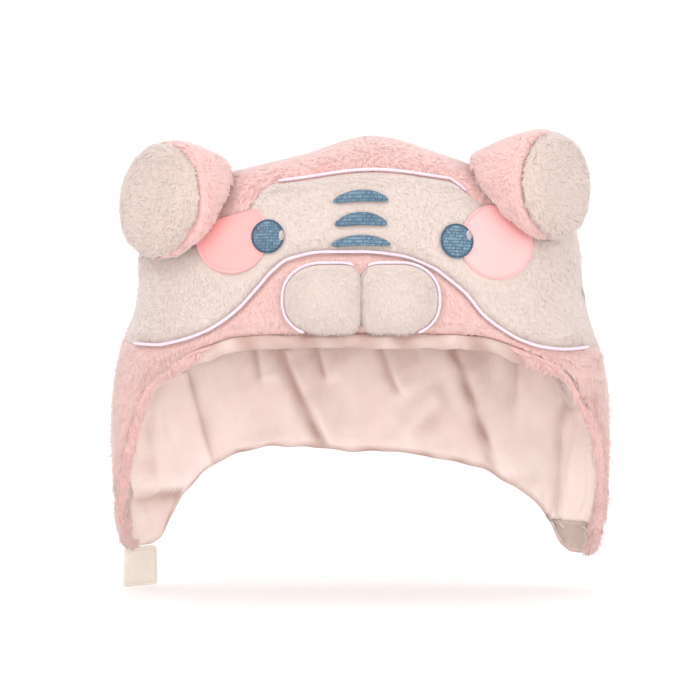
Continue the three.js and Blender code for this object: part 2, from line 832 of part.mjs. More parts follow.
const room = crownRoom();
const pipingRoom = toSolid(crownPiping(gap));
for (const row of sides) {
  const { side, name } = row;
  addPiece(`muzzle_${name}`, muzzle(side), "cream");
  addPiece(`muzzle_piping_${name}`, muzzlePiping(side), "piping");
  addPiece(`cheek_${name}`, cheek(row), "satin");
  addPiece(`eye_${name}`, eye(row), "thread");
  const cutters = [room, toSolid(cheekShape(row, gap)), pipingRoom];
  addPiece(`ear_back_${name}`, cutEar(earBackShape(row), cutters), "pink");
  addPiece(`ear_cup_${name}`, cutEar(earCupShape(row), cutters), "cream");
}

const tab = addPiece("strap_tab", new THREE.BoxGeometry(tabWidth, tabThickness, tabLength), "tape");
const drop = new THREE.Vector3(0, 0, -gap - tabLength / 2);
tab.position.copy(onShell(tabAngle, rimFall(tabAngle), hemReachBack / 3)).add(drop);
tab.rotation.z = facingAt(tabAngle);
addPiece("fastener_patch", fastenerPatch(), "loop");

export default cap;
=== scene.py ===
"""A plush animal cap with ear flaps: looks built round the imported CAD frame.

Everything sewn to the cap lies on one seam surface, the same as in the part's source. A place
on it is an angle round the cap in degrees from the middle of the face, a fall from the top of
the crown (0) past the brow (1) to the tips of the flaps (2), and a lift off the surface.
"""

import logging
import math
from collections.abc import Callable, Sequence
from dataclasses import dataclass, field
from enum import Enum

import bmesh
import bpy
import numpy as np
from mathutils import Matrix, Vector
from mathutils.kdtree import KDTree

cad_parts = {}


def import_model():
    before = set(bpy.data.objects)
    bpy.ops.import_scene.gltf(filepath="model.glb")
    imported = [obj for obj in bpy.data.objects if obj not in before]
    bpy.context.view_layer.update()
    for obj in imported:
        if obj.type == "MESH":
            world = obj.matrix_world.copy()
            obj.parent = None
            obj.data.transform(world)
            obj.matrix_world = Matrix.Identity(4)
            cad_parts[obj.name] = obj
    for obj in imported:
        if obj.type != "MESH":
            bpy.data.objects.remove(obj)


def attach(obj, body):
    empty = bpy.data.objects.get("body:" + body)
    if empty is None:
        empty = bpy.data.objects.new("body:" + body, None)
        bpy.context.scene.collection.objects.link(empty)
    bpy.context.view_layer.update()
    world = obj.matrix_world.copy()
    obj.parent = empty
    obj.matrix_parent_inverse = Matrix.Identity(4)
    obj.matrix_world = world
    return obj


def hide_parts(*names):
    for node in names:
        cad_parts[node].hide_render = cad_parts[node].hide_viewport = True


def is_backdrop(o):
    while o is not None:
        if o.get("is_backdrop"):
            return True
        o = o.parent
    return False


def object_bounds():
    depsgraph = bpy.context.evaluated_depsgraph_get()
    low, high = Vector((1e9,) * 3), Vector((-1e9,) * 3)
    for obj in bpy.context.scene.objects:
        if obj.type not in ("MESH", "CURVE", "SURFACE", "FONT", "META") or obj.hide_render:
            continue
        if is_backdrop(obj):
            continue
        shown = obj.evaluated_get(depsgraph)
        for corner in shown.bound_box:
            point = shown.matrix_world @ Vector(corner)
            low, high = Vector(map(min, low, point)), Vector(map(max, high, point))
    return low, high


LOG = logging.getLogger("plush_cap")
BODY = "root"
Mapping = Callable[[np.ndarray, np.ndarray], np.ndarray]
Outline = Callable[[np.ndarray], tuple[np.ndarray, np.ndarray]]


class Side(Enum):
    """The side of the cap, as the viewer sees it, with its direction along X."""

    LEFT = -1
    RIGHT = 1

    @property
    def label(self) -> str:
        """The side's name in the names of nodes."""
        return self.name.lower()


class Slot(Enum):
    """The material slots that the finishes belong to."""

    PINK = "pink_plush"
    CREAM = "cream_plush"
    LINING = "lining"
    PIPING = "piping"
    SATIN = "satin"
    BLUE = "blue_thread"
    TAPE = "tape"
    LOOP = "loop_pile"


def linear(red: float, green: float, blue: float) -> tuple[float, float, float, float]:
    """Turns a display colour into a shader colour.

    Args:
        red: red from 0 to 255.
        green: green from 0 to 255.
        blue: blue from 0 to 255.

    Returns:
        The colour in linear light, with an alpha of 1.
    """
    shares = [c / 255 for c in (red, green, blue)]
    lights = [c / 12.92 if c <= 0.04045 else ((c + 0.055) / 1.055) ** 2.4 for c in shares]
    return (*lights, 1.0)


def ease(value: np.ndarray, low: float, high: float) -> np.ndarray:
    """A smooth step from 0 at low to 1 at high."""
    t = np.clip((value - low) / (high - low), 0, 1)
    return t * t * (3 - 2 * t)


def unit(vectors: np.ndarray) -> np.ndarray:
    """The vectors at a length of one."""
    return vectors / np.maximum(np.linalg.norm(vectors, axis=-1, keepdims=True), 1e-12)


def ripples(points: np.ndarray, wavelength: float, seed: int, waves: int = 7) -> np.ndarray:
    """A smooth random value, mostly from -1 to 1, at each point.

    Args:
        points: places in metres, with their coordinates along the last axis.
        wavelength: the usual distance from crest to crest, in metres.
        seed: which of the random fields.
        waves: how many plane waves are added.

    Returns:
        One value for each point.
    """
    rng = np.random.default_rng(seed)
    ways = unit(rng.normal(size=(waves, points.shape[-1])))
    ways *= rng.uniform(0.7, 1.4, (waves, 1)) * 2 * math.pi / wavelength
    phases = rng.uniform(0, 2 * math.pi, waves)
    return np.sin(points @ ways.T + phases).sum(axis=-1) / math.sqrt(waves)


def smooth_table(rows: np.ndarray, at: np.ndarray) -> np.ndarray:
    """Reads a table of (place, value) rows with no overshoot between its rows.

    Args:
        rows: the table, with its places rising.
        at: the places to read.

    Returns:
        The value at each place.
    """
    key, value = rows[:, 0], rows[:, 1]
    step = np.diff(key)
    secant = np.diff(value) / step
    before, after = secant[:-1], secant[1:]
    slope = np.zeros_like(key)
    both = before * after > 0
    slope[1:-1][both] = 2 * before[both] * after[both] / (before[both] + after[both])
    i = np.searchsorted(key[1:-1], at, side="left")
    t = np.clip((at - key[i]) / step[i], 0, 1)
    rise = value[i] * (2 * t**3 - 3 * t**2 + 1) + value[i + 1] * (3 * t**2 - 2 * t**3)
    return rise + step[i] * (slope[i] * (t**3 - 2 * t**2 + t) + slope[i + 1] * (t**3 - t**2))


def curve_through(points: np.ndarray, count: int) -> np.ndarray:
    """Samples a centripetal curve through points, evenly in its own parameter.

    Args:
        points: the points that the curve goes through, one to a row.
        count: how many samples to take.

    Returns:
        The samples, one to a row.
    """
    ends = (2 * points[0] - points[1], 2 * points[-1] - points[-2])
    p = np.vstack([ends[0], points, ends[1]])
    spans = len(points) - 1
    along = np.linspace(0, spans, count)
    i = np.minimum(along.astype(int), spans - 1)
    t = (along - i)[:, None]
    gaps = np.sqrt(np.linalg.norm(np.diff(p, axis=0), axis=1))[:, None]
    d0, d1, d2 = gaps[i], gaps[i + 1], gaps[i + 2]
    x0, x1, x2, x3 = p[i], p[i + 1], p[i + 2], p[i + 3]
    out = ((x1 - x0) / d0 - (x2 - x0) / (d0 + d1) + (x2 - x1) / d1) * d1
    into = ((x2 - x1) / d1 - (x3 - x1) / (d1 + d2) + (x3 - x2) / d2) * d1
    square = -3 * x1 + 3 * x2 - 2 * out - into
    cube = 2 * x1 - 2 * x2 + out + into
    return x1 + out * t + square * t**2 + cube * t**3


# Half width and half depth of the cap at each fall, as shares of its own
SECTIONS = np.array([
    # width, depth, fall
    (0, 0, 0), (0.3, 0.26, 0.006), (0.58, 0.49, 0.035), (0.77, 0.68, 0.11),
    (0.875, 0.83, 0.25), (0.925, 0.93, 0.45), (0.935, 0.985, 0.68), (0.965, 1, 0.86),
    (1.01, 1, 1), (1.045, 1, 1.2), (1.05, 0.985, 1.6), (1.025, 0.93, 2),
])  # fmt: skip

# The rim by angle, on the left and on the right, as a share of the flap's length
RIM = np.array([
    # angle, left, right
    (0, 0, 0), (25, 0.01, 0.01), (37, 0.065, 0.065), (46, 0.12, 0.1), (54, 0.18, 0.14),
    (61, 0.34, 0.25), (67, 0.51, 0.365), (73, 0.64, 0.48), (80, 0.77, 0.635), (87, 0.89, 0.8),
    (94, 0.97, 0.93), (102, 1, 1), (114, 1, 1), (121, 0.97, 0.96), (127, 0.86, 0.85),
    (134, 0.72, 0.755), (144, 0.6, 0.67), (152, 0.54, 0.605), (163, 0.5, 0.56),
    (172, 0.505, 0.535), (180, 0.525, 0.525),
])  # fmt: skip

# The seam between crown and face by angle, which dips under the front of each ear
CROWN_SEAM = np.array([
    # angle, left, right
    (0, 0.11, 0.11), (25, 0.11, 0.11), (31, 0.33, 0.2), (37, 0.41, 0.26), (44, 0.41, 0.32),
    (54, 0.34, 0.32), (66, 0.2, 0.22), (78, 0.115, 0.12), (86, 0.11, 0.11), (180, 0.11, 0.11),
])  # fmt: skip

# The curved seam under the face, by its share of the way across the cap
FACE_SEAM = np.array([
    # across, left, right
    (0, 0.49, 0.49), (0.17, 0.488, 0.508), (0.32, 0.52, 0.57), (0.39, 0.58, 0.63),
    (0.46, 0.68, 0.705), (0.53, 0.785, 0.825), (0.6, 0.865, 0.905), (0.66, 0.918, 0.96),
    (0.75, 0.965, 1), (0.84, 0.99, 1.01), (0.93, 0.985, 1.003), (1, 0.965, 0.985),
])  # fmt: skip


@dataclass(frozen=True)
class Fold:
    """A fold of the lining that leans over on one side, from its start to its end.

    Places are across and up, in metres. Looking from the start to the end, the fold falls
    steeply on its right hand and softly on its left. Shade is how dark its painted shade is.
    """

    start: tuple[float, float]
    end: tuple[float, float]
    depth: float
    sharp: float
    soft: float
    bow: float = 0.0
    fade: float = 0.12
    shade: float = 1.0

    @property
    def square(self) -> np.ndarray:
        """The way square to the fold, to its soft side, across and up."""
        run = np.array(self.end) - self.start
        return np.array([-run[1], run[0]]) / float(np.hypot(*run))

    def beside(self, places: np.ndarray) -> tuple[np.ndarray, np.ndarray]:
        """How far from the fold's line places are, and how much of the fold is there."""
        run = np.array(self.end) - self.start
        away = places[:, (0, 2)] - np.array(self.start)
        along = away @ run / float(np.hypot(*run)) ** 2
        t = np.clip(along, 0, 1)
        side = away @ self.square - self.bow * 4 * t * (1 - t)
        ends = ease(along, -self.fade, self.fade) * (1 - ease(along, 1 - self.fade, 1 + self.fade))
        return side, ends

    def rise(self, places: np.ndarray) -> tuple[np.ndarray, np.ndarray]:
        """How far the fold stands in from the lining, and the way it leans over.

        Args:
            places: points of the lining.

        Returns:
            The rise at each point, and its shift across and up.
        """
        side, ends = self.beside(places)
        spread = np.where(side < 0, self.sharp, self.soft)
        rise = self.depth * np.exp(-((side / spread) ** 2)) * ends
        over = min(1.0, 0.0022 / self.sharp) * 0.12
        return rise, -self.square * (rise * over)[:, None]

    def hollow(self, places: np.ndarray) -> np.ndarray:
        """How dark the painted shade is at places in the trough beside the fold's steep side."""
        side, ends = self.beside(places)
        deepest = -1.2 * self.sharp
        spread = np.where(side < deepest, self.sharp + 0.0018, self.sharp * 0.8)
        uneven = (1 + 0.3 * ripples(places, 0.02, 77)).clip(0.3, 1.5)
        strength = min(1.25, self.depth / 0.0065) * 0.6 * self.shade * uneven
        return strength * np.exp(-(((side - deepest) / spread) ** 2)) * ends


# The lining's folds, most of them hanging from the crown to the nape
FOLDS = (
    Fold((-0.0421, -0.0980), (-0.0125, -0.1600), 0.0105, 0.0024, 0.0120, bow=-0.0016),
    Fold((-0.0560, -0.0980), (-0.0530, -0.1190), 0.0040, 0.0016, 0.0060),
    Fold((-0.0230, -0.0970), (-0.0170, -0.1190), 0.0056, 0.0018, 0.0070),
    Fold((0.0120, -0.0970), (0.0235, -0.1260), 0.0056, 0.0020, 0.0080, bow=-0.001),
    Fold((0.0509, -0.0970), (0.0750, -0.1640), 0.0075, 0.0024, 0.0105, bow=0.0012),
    Fold((-0.0810, -0.1660), (-0.0973, -0.1060), 0.0038, 0.0012, 0.0140),
    Fold((0.0240, -0.1480), (0.0450, -0.1280), 0.0036, 0.0045, 0.0065, bow=0.001),
    Fold((-0.1200, -0.1780), (-0.0860, -0.1755), 0.0046, 0.0028, 0.0120, fade=0.1, shade=1.6),
    Fold((-0.1030, -0.1150), (-0.1060, -0.1700), 0.0026, 0.0030, 0.0060, bow=-0.004),
    Fold((0.1000, -0.1060), (0.1170, -0.1330), 0.0060, 0.0022, 0.0090),
    Fold((0.1110, -0.1330), (0.1090, -0.1900), 0.0036, 0.0022, 0.0055),
    Fold((0.1010, -0.1930), (0.1230, -0.1955), 0.0038, 0.0018, 0.0065, fade=0.25),
    Fold((0.0800, -0.1700), (0.0990, -0.1670), 0.0022, 0.0030, 0.0050, fade=0.3),
    Fold((-0.0640, -0.1560), (-0.0400, -0.1530), 0.0040, 0.0030, 0.0060, fade=0.3),
    Fold((0.0880, -0.1000), (0.0860, -0.1400), 0.0030, 0.0030, 0.0080, fade=0.3),
)


@dataclass
class SeamSurface:
    """The surface between the plush and the lining, which every piece is laid on."""

    half_width: float = 0.120
    half_depth: float = 0.056
    crown_height: float = 0.091
    flap_left: float = 0.105
    flap_right: float = 0.109
    plan_power: float = 2.3
    hump: tuple[float, float, float, float] = (0.015, 0.037, 0.045, 0.006)
    pile: float = 0.005
    seam_pile: float = 0.0022
    seam_roll: float = 0.008
    wall: float = 0.0015
    slack: float = 0.002
    gap: float = 0.00035
    hem_front: float = 0.007
    hem_back: float = 0.003
    hem_turn: tuple[float, float] = (35.0, 60.0)
    table: np.ndarray = field(init=False)
    stations: np.ndarray = field(init=False)

    def __post_init__(self) -> None:
        """Works out the girth of the surface once, finely."""
        self.table = curve_through(SECTIONS, 6001)
        self.table[:, 2] = np.maximum.accumulate(self.table[:, 2])
        self.stations = np.linspace(0, 1, len(self.table))

    @property
    def dome_top(self) -> float:
        """The height of the surface's top without its hump."""
        top = self.wall + self.slack + self.gap / 2
        return top - float(self.hump_at(np.zeros(1), np.zeros(1), np.zeros(1))[0])

    @property
    def brow(self) -> float:
        """The height of the brow."""
        return self.dome_top - self.crown_height

    @property
    def trim_base(self) -> float:
        """How far off the surface the trim's underside lies on the face."""
        return self.gap * 1.5 + self.pile

    def hump_at(self, x: np.ndarray, y: np.ndarray, fall: np.ndarray) -> np.ndarray:
        """How much the crown's hump adds to the height, fading out down the face."""
        height, wide, deep, across = self.hump
        spread = ((x - across) / wide) ** 2 + (y / deep) ** 2
        return height * np.exp(-spread) * (1 - ease(fall, 0.1, 0.7))

    def station(self, fall: np.ndarray) -> np.ndarray:
        """How far along the girth curve a fall is reached."""
        return np.interp(fall, self.table[:, 2], self.stations)

    def girth(self, station: np.ndarray) -> tuple[np.ndarray, np.ndarray, np.ndarray]:
        """The shares of width and depth, and the fall, at a station."""
        place = np.clip(station, 0, 1)
        width, depth, fall = (np.interp(place, self.stations, self.table[:, k]) for k in range(3))
        return width, depth, fall

    def flap(self, angle: np.ndarray) -> np.ndarray:
        """The flap's length at an angle, from the left one's to the right one's."""
        share = (1 + np.sin(np.radians(angle))) / 2
        return self.flap_left + (self.flap_right - self.flap_left) * share

    def height(self, fall: np.ndarray, angle: np.ndarray) -> np.ndarray:
        """The height of a fall."""
        above = self.dome_top - self.crown_height * np.minimum(fall, 1)
        return above - self.flap(angle) * np.maximum(fall - 1, 0)

    def fall(self, height: np.ndarray, angle: np.ndarray) -> np.ndarray:
        """The fall of a height."""
        above = (self.dome_top - height) / self.crown_height
        below = 1 + (self.brow - height) / self.flap(angle)
        return np.where(height > self.brow, above, below)

    def point(self, angle: np.ndarray, station: np.ndarray) -> np.ndarray:
        """The point of the surface at an angle and a station."""
        width, depth, fall = self.girth(station)
        turn = np.radians(angle)
        bend = [np.sign(v) * np.abs(v) ** (2 / self.plan_power) for v in (np.sin(turn), np.cos(turn))]
        x = self.half_width * width * bend[0]
        y = -self.half_depth * depth * bend[1]
        z = self.height(fall, angle) + self.hump_at(x, y, fall)
        return np.stack([x, y, z], axis=-1)

    def lifted(self, angle: np.ndarray, station: np.ndarray, lift: np.ndarray) -> np.ndarray:
        """The point at a station, lifted off the surface along its outward normal."""
        angle, station, lift = np.broadcast_arrays(angle, station, lift)
        nudge = 0.004
        round_it = self.point(angle + 0.5, station) - self.point(angle - 0.5, station)
        down = self.point(angle, station + nudge) - self.point(angle, station - nudge)
        normal = unit(np.cross(down, round_it))
        normal[station < 1e-6] = (0, 0, 1)
        return self.point(angle, station) + normal * lift[..., None]

    def at(self, angle: np.ndarray, fall: np.ndarray, lift: np.ndarray) -> np.ndarray:
        """The point at an angle and a fall, lifted off the surface."""
        angle, fall = np.broadcast_arrays(np.asarray(angle, float), fall)
        return self.lifted(angle, self.station(fall), lift)

    def on_face(self, x: np.ndarray, z: np.ndarray, lift: np.ndarray) -> np.ndarray:
        """The point over the face at a distance across and a height."""
        station = self.station(self.fall(z, np.zeros_like(z)))
        share = np.clip(x / (self.half_width * self.girth(station)[0]), -1, 1)
        angle = np.sign(share) * np.degrees(np.arcsin(np.abs(share) ** (self.plan_power / 2)))
        return self.lifted(angle, station, lift)

    @staticmethod
    def wrapped(angle: np.ndarray) -> np.ndarray:
        """The angle between -180 and 180."""
        return (np.asarray(angle, float) + 540) % 360 - 180

    def side_table(self, table: np.ndarray, angle: np.ndarray, key: np.ndarray) -> np.ndarray:
        """Reads the left or the right column of a table, by the side that an angle is on."""
        left, right = (smooth_table(table[:, (0, k)], key) for k in (1, 2))
        return np.where(self.wrapped(angle) < 0, left, right)

    def rim(self, angle: np.ndarray) -> np.ndarray:
        """The fall of the rim at an angle."""
        return 1 + self.side_table(RIM, angle, np.abs(self.wrapped(angle)))

    def crown_seam(self, angle: np.ndarray) -> np.ndarray:
        """The fall of the seam between crown and face at an angle."""
        return self.side_table(CROWN_SEAM, angle, np.abs(self.wrapped(angle)))

    def face_seam(self, angle: np.ndarray) -> np.ndarray:
        """The fall of the seam under the face at an angle."""
        across = np.abs(np.sin(np.radians(angle))) ** (2 / self.plan_power)
        return self.side_table(FACE_SEAM, angle, across)

    def rim_stretch(self, angle: np.ndarray) -> np.ndarray:
        """How much longer an upright step is than one square to the rim."""
        ends = [self.at(angle + a, self.rim(angle + a), 0.0) for a in (-1, 1)]
        along = ends[1] - ends[0]
        return np.linalg.norm(along, axis=-1) / np.hypot(along[..., 0], along[..., 1])

    def hem_height(self, angle: np.ndarray) -> np.ndarray:
        """The upright height of the rolled hem: tall under the muzzle, low elsewhere."""
        turn = ease(np.abs(self.wrapped(angle)), *self.hem_turn)
        return (self.hem_front + (self.hem_back - self.hem_front) * turn) * self.rim_stretch(angle)

    def hem_top(self, angle: np.ndarray) -> np.ndarray:
        """The fall at which the plush ends above the rolled hem."""
        up = self.hem_height(angle) + 2 * self.gap * self.rim_stretch(angle)
        return self.fall(self.height(self.rim(angle), angle) + up, angle)

    def angle_of(self, points: np.ndarray) -> np.ndarray:
        """The angle round the cap of points near the surface."""
        half = np.array([self.half_width, self.half_depth])
        share = points[:, :2] / half
        turned = np.sign(share) * np.abs(share) ** (self.plan_power / 2)
        return np.degrees(np.arctan2(turned[:, 0], -turned[:, 1]))

    def above_rim(self, points: np.ndarray) -> np.ndarray:
        """How far above the rim points are, square to it."""
        angle = self.angle_of(points)
        return (points[:, 2] - self.height(self.rim(angle), angle)) / self.rim_stretch(angle)

    def pile_at(self, distance: np.ndarray) -> np.ndarray:
        """The plush's thickness at a distance from its seam."""
        t = np.clip(distance / self.seam_roll, 0, 1)
        return self.seam_pile + (self.pile - self.seam_pile) * np.sin(math.pi / 2 * t)


class Shader:
    """Adds nodes to a node tree and links them."""

    def __init__(self, tree: bpy.types.NodeTree) -> None:
        """Keeps the tree that the nodes go into."""
        self.tree = tree

    def add(self, kind: str, inputs: dict | None = None, **settings: object) -> bpy.types.Node:
        """Adds one node.

        Args:
            kind: the node's type without its prefix, such as TexNoise.
            inputs: a value or another node's socket for each named or numbered input.
            **settings: the node's own properties.

        Returns:
            The node.
        """
        node = self.tree.nodes.new(f"ShaderNode{kind}")
        for name, value in settings.items():
            setattr(node, name, value)
        for name, value in (inputs or {}).items():
            if isinstance(value, bpy.types.NodeSocket):
                self.tree.links.new(value, node.inputs[name])
            else:
                node.inputs[name].default_value = value
        return node

    def math(self, operation: str, *values: object) -> bpy.types.NodeSocket:
        """The result of a Math node on one to three values or sockets."""
        return self.add("Math", dict(enumerate(values)), operation=operation).outputs[0]

    def mix(self, share: object, first: object, second: object) -> bpy.types.NodeSocket:
        """The mix of two colours."""
        inputs = {0: share, 6: first, 7: second}
        return self.add("Mix", inputs, data_type="RGBA").outputs[2]

    def ramp(self, value: object, low: float, high: float) -> bpy.types.NodeSocket:
        """A value spread so that low becomes 0 and high becomes 1, eased between them."""
        inputs = {"Value": value, "From Min": low, "From Max": high}
        return self.add("MapRange", inputs, interpolation_type="SMOOTHSTEP").outputs[0]

    def attribute(self, name: str) -> bpy.types.NodeSocket:
        """The value of a point attribute."""
        return self.add("Attribute", attribute_name=name).outputs["Fac"]

    def noise(self, vector: object, scale: object, detail: float = 2.0) -> bpy.types.NodeSocket:
        """The value of a noise texture."""
        return self.add("TexNoise", {"Vector": vector, "Scale": scale, "Detail": detail}).outputs[0]


def node_group(name: str, inputs: dict[str, tuple[str, object]], outputs: dict[str, str]) -> Shader:
    """Makes a shader node group.

    Args:
        name: the group's name.
        inputs: each input's kind of socket and default.
        outputs: each output's kind of socket.

    Returns:
        A Shader on the group's tree.
    """
    tree = bpy.data.node_groups.new(name, "ShaderNodeTree")
    for label, (kind, default) in inputs.items():
        socket = tree.interface.new_socket(label, in_out="INPUT", socket_type=f"NodeSocket{kind}")
        if default is not None:
            socket.default_value = default
    for label, kind in outputs.items():
        tree.interface.new_socket(label, in_out="OUTPUT", socket_type=f"NodeSocket{kind}")
    shader = Shader(tree)
    tree.nodes.new("NodeGroupInput")
    tree.nodes.new("NodeGroupOutput")
    return shader


class Effects:
    """The shader effects that several finishes share, each built once."""

    def __init__(self) -> None:
        """Builds the groups."""
        self.mottle = self._mottle()
        self.threads = self._threads()
        self.ribs = self._ribs()

    @staticmethod
    def _ends(shader: Shader) -> tuple[bpy.types.Node, bpy.types.Node]:
        """The group's input and output nodes."""
        nodes = shader.tree.nodes
        return nodes["Group Input"], nodes["Group Output"]

    def _mottle(self) -> bpy.types.NodeTree:
        """Cloudy variation of a colour towards a second one."""
        inputs = {
            "Colour": ("Color", None),
            "Cloud": ("Color", None),
            "Size": ("Float", 60.0),
            "Amount": ("Float", 0.5),
        }
        shader = node_group("Cloudy colour", inputs, {"Colour": "Color"})
        start, end = self._ends(shader)
        place = shader.add("TexCoord").outputs["Object"]
        cloud = shader.noise(place, start.outputs["Size"], 3.0)
        share = shader.math("MULTIPLY", shader.ramp(cloud, 0.42, 0.66), start.outputs["Amount"])
        colour = shader.mix(share, start.outputs["Colour"], start.outputs["Cloud"])
        shader.tree.links.new(colour, end.inputs["Colour"])
        return shader.tree

    def _threads(self) -> bpy.types.NodeTree:
        """Laid satin threads across a surface, from its U coordinate."""
        inputs = {
            "Along": ("Float", 0.0),
            "Across": ("Float", 0.0),
            "Count": ("Float", 100.0),
            "Slant": ("Float", 0.3),
            "Stitches": ("Float", 0.0),
        }
        shader = node_group("Laid threads", inputs, {"Height": "Float", "Shade": "Float"})
        start, end = self._ends(shader)
        given = [start.outputs[label] for label in ("Across", "Slant", "Along")]
        slanted = shader.math("MULTIPLY_ADD", *given)
        turns = shader.math("MULTIPLY", slanted, start.outputs["Count"])
        wave = shader.math("PINGPONG", turns, 1.0)
        height = shader.math("POWER", wave, 0.6)
        cell = shader.math("FLOOR", shader.math("MULTIPLY", turns, 0.5))
        parity = shader.math("MODULO", cell, 2.0)
        step = shader.math("MULTIPLY", start.outputs["Across"], start.outputs["Stitches"])
        brick = shader.math("FLOOR", shader.math("MULTIPLY_ADD", parity, 0.5, step))
        spot = shader.add("CombineXYZ", {"X": cell, "Y": brick}).outputs[0]
        shade = shader.add("TexWhiteNoise", {"Vector": spot}).outputs["Value"]
        shader.tree.links.new(height, end.inputs["Height"])
        shader.tree.links.new(shade, end.inputs["Shade"])
        return shader.tree

    def _ribs(self) -> bpy.types.NodeTree:
        """Fine knitted ribs that follow the cloth, with a little slub."""
        inputs = {
            "U": ("Float", 0.0),
            "V": ("Float", 0.0),
            "Ribs": ("Float", 1.0),
            "Stitches": ("Float", 1.0),
        }
        shader = node_group("Knitted ribs", inputs, {"Height": "Float", "Slub": "Float"})
        start, end = self._ends(shader)
        place = shader.add("TexCoord").outputs["Object"]
        wander = shader.math("MULTIPLY", shader.noise(place, 55.0), 1.3)
        ribs = shader.math("MULTIPLY_ADD", start.outputs["V"], start.outputs["Ribs"], wander)
        rib = shader.math("ABSOLUTE", shader.math("SINE", ribs))
        stitches = shader.math("MULTIPLY", start.outputs["U"], start.outputs["Stitches"])
        stitch = shader.math("SINE", stitches)
        slub = shader.noise(place, 420.0, 3.0)
        fine = shader.math("MULTIPLY_ADD", stitch, 0.18, shader.math("MULTIPLY", slub, 0.5))
        height = shader.math("MULTIPLY_ADD", rib, 0.6, fine)
        shader.tree.links.new(height, end.inputs["Height"])
        shader.tree.links.new(slub, end.inputs["Slub"])
        return shader.tree


@dataclass(frozen=True)
class Finish:
    """What every finish has: a name, a slot, its colours and how rough and soft it looks."""

    name: str
    slot: Slot
    colour: tuple[float, float, float, float]
    second: tuple[float, float, float, float]
    roughness: float = 0.85
    sheen: float = 0.3

    def material(self, effects: Effects) -> bpy.types.Material:
        """The finish as a material, made once."""
        found = bpy.data.materials.get(self.name)
        if found:
            return found
        made = bpy.data.materials.new(self.name)
        made.use_nodes = True
        made.diffuse_color = self.colour
        shader = Shader(made.node_tree)
        surface = made.node_tree.nodes["Principled BSDF"]
        surface.inputs["Roughness"].default_value = self.roughness
        surface.inputs["Sheen Weight"].default_value = self.sheen
        surface.inputs["Sheen Roughness"].default_value = 0.5
        surface.inputs["Specular IOR Level"].default_value = 0.25
        self.paint(shader, surface, effects)
        return made

    def paint(self, shader: Shader, surface: bpy.types.Node, effects: Effects) -> None:
        """Links the finish's own colours and relief to the surface."""
        raise NotImplementedError

    def clouded(self, shader: Shader, effects: Effects) -> bpy.types.NodeSocket:
        """The finish's colour with a cloudy variation towards its second one."""
        inputs = {"Colour": self.colour, "Cloud": self.second, "Size": 45.0, "Amount": 0.4}
        return shader.add("Group", inputs, node_tree=effects.mottle).outputs["Colour"]

    def relief(self, shader: Shader, surface: bpy.types.Node, height: object, depth: float) -> None:
        """Links a bump of a depth in metres to the surface."""
        bump = shader.add("Bump", {"Height": height, "Distance": depth, "Strength": 1.0})
        shader.tree.links.new(bump.outputs[0], surface.inputs["Normal"])


@dataclass(frozen=True)
class Plush(Finish):
    """Plush pile: painted shade at the hair roots and on the skin between the hairs, paler at their
    tips.
    """

    sheen: float = 0.8
    # The painted shade at the roots of the hairs and on the skin between them
    deep: tuple[float, float, float, float] = (0.5, 0.5, 0.5, 1)

    def paint(self, shader: Shader, surface: bpy.types.Node, effects: Effects) -> None:
        """Paints shade at each hair's root, fading towards its tip, and varies the tone from one hair to
        the next.
        """
        tip = shader.attribute("tip")
        tint = shader.attribute("tint")
        body = self.clouded(shader, effects)
        pale = shader.mix(shader.math("MULTIPLY", tint, 0.3), body, linear(255, 244, 240))
        # Painted shade: the deep colour at the root fades into the hair's own colour at its tip
        colour = shader.mix(shader.ramp(tip, 0.0, 0.7), self.deep, pale)
        shader.tree.links.new(colour, surface.inputs["Base Color"])
        rough = shader.math("MULTIPLY_ADD", tint, 0.1, self.roughness - 0.05)
        shader.tree.links.new(rough, surface.inputs["Roughness"])


@dataclass(frozen=True)
class Knit(Finish):
    """Ribbed lining cloth, on the piece's own UV map, or a tape's weave."""

    ribs: float = 4000.0
    stitches: float = 6000.0
    depth: float = 0.00025
    # The colour of the painted shade in the lining's folds and on its hem
    hollow: tuple[float, float, float, float] = (0.6, 0.5, 0.45, 1)

    def paint(self, shader: Shader, surface: bpy.types.Node, effects: Effects) -> None:
        """Lays ribs along the cloth, with painted shade in their valleys and in the cloth's folds."""
        parts = shader.add("SeparateXYZ", {0: shader.add("UVMap", uv_map="cloth").outputs[0]})
        inputs = {
            "U": parts.outputs[0],
            "V": parts.outputs[1],
            "Ribs": self.ribs,
            "Stitches": self.stitches,
        }
        ribs = shader.add("Group", inputs, node_tree=effects.ribs)
        body = self.clouded(shader, effects)
        # Painted shade: the valleys between the ribs lean towards the darker second colour
        low = shader.mix(0.12, self.colour, self.second)
        ribbed = shader.mix(shader.ramp(ribs.outputs["Height"], 0.1, 0.9), low, body)
        # Painted shade from the point attribute, in the folds, under the hem and on the hem
        colour = shader.mix(shader.attribute("hollow"), ribbed, self.hollow)
        shader.tree.links.new(colour, surface.inputs["Base Color"])
        rough = shader.math("MULTIPLY_ADD", ribs.outputs["Slub"], 0.12, self.roughness - 0.06)
        shader.tree.links.new(rough, surface.inputs["Roughness"])
        self.relief(shader, surface, ribs.outputs["Height"], self.depth)


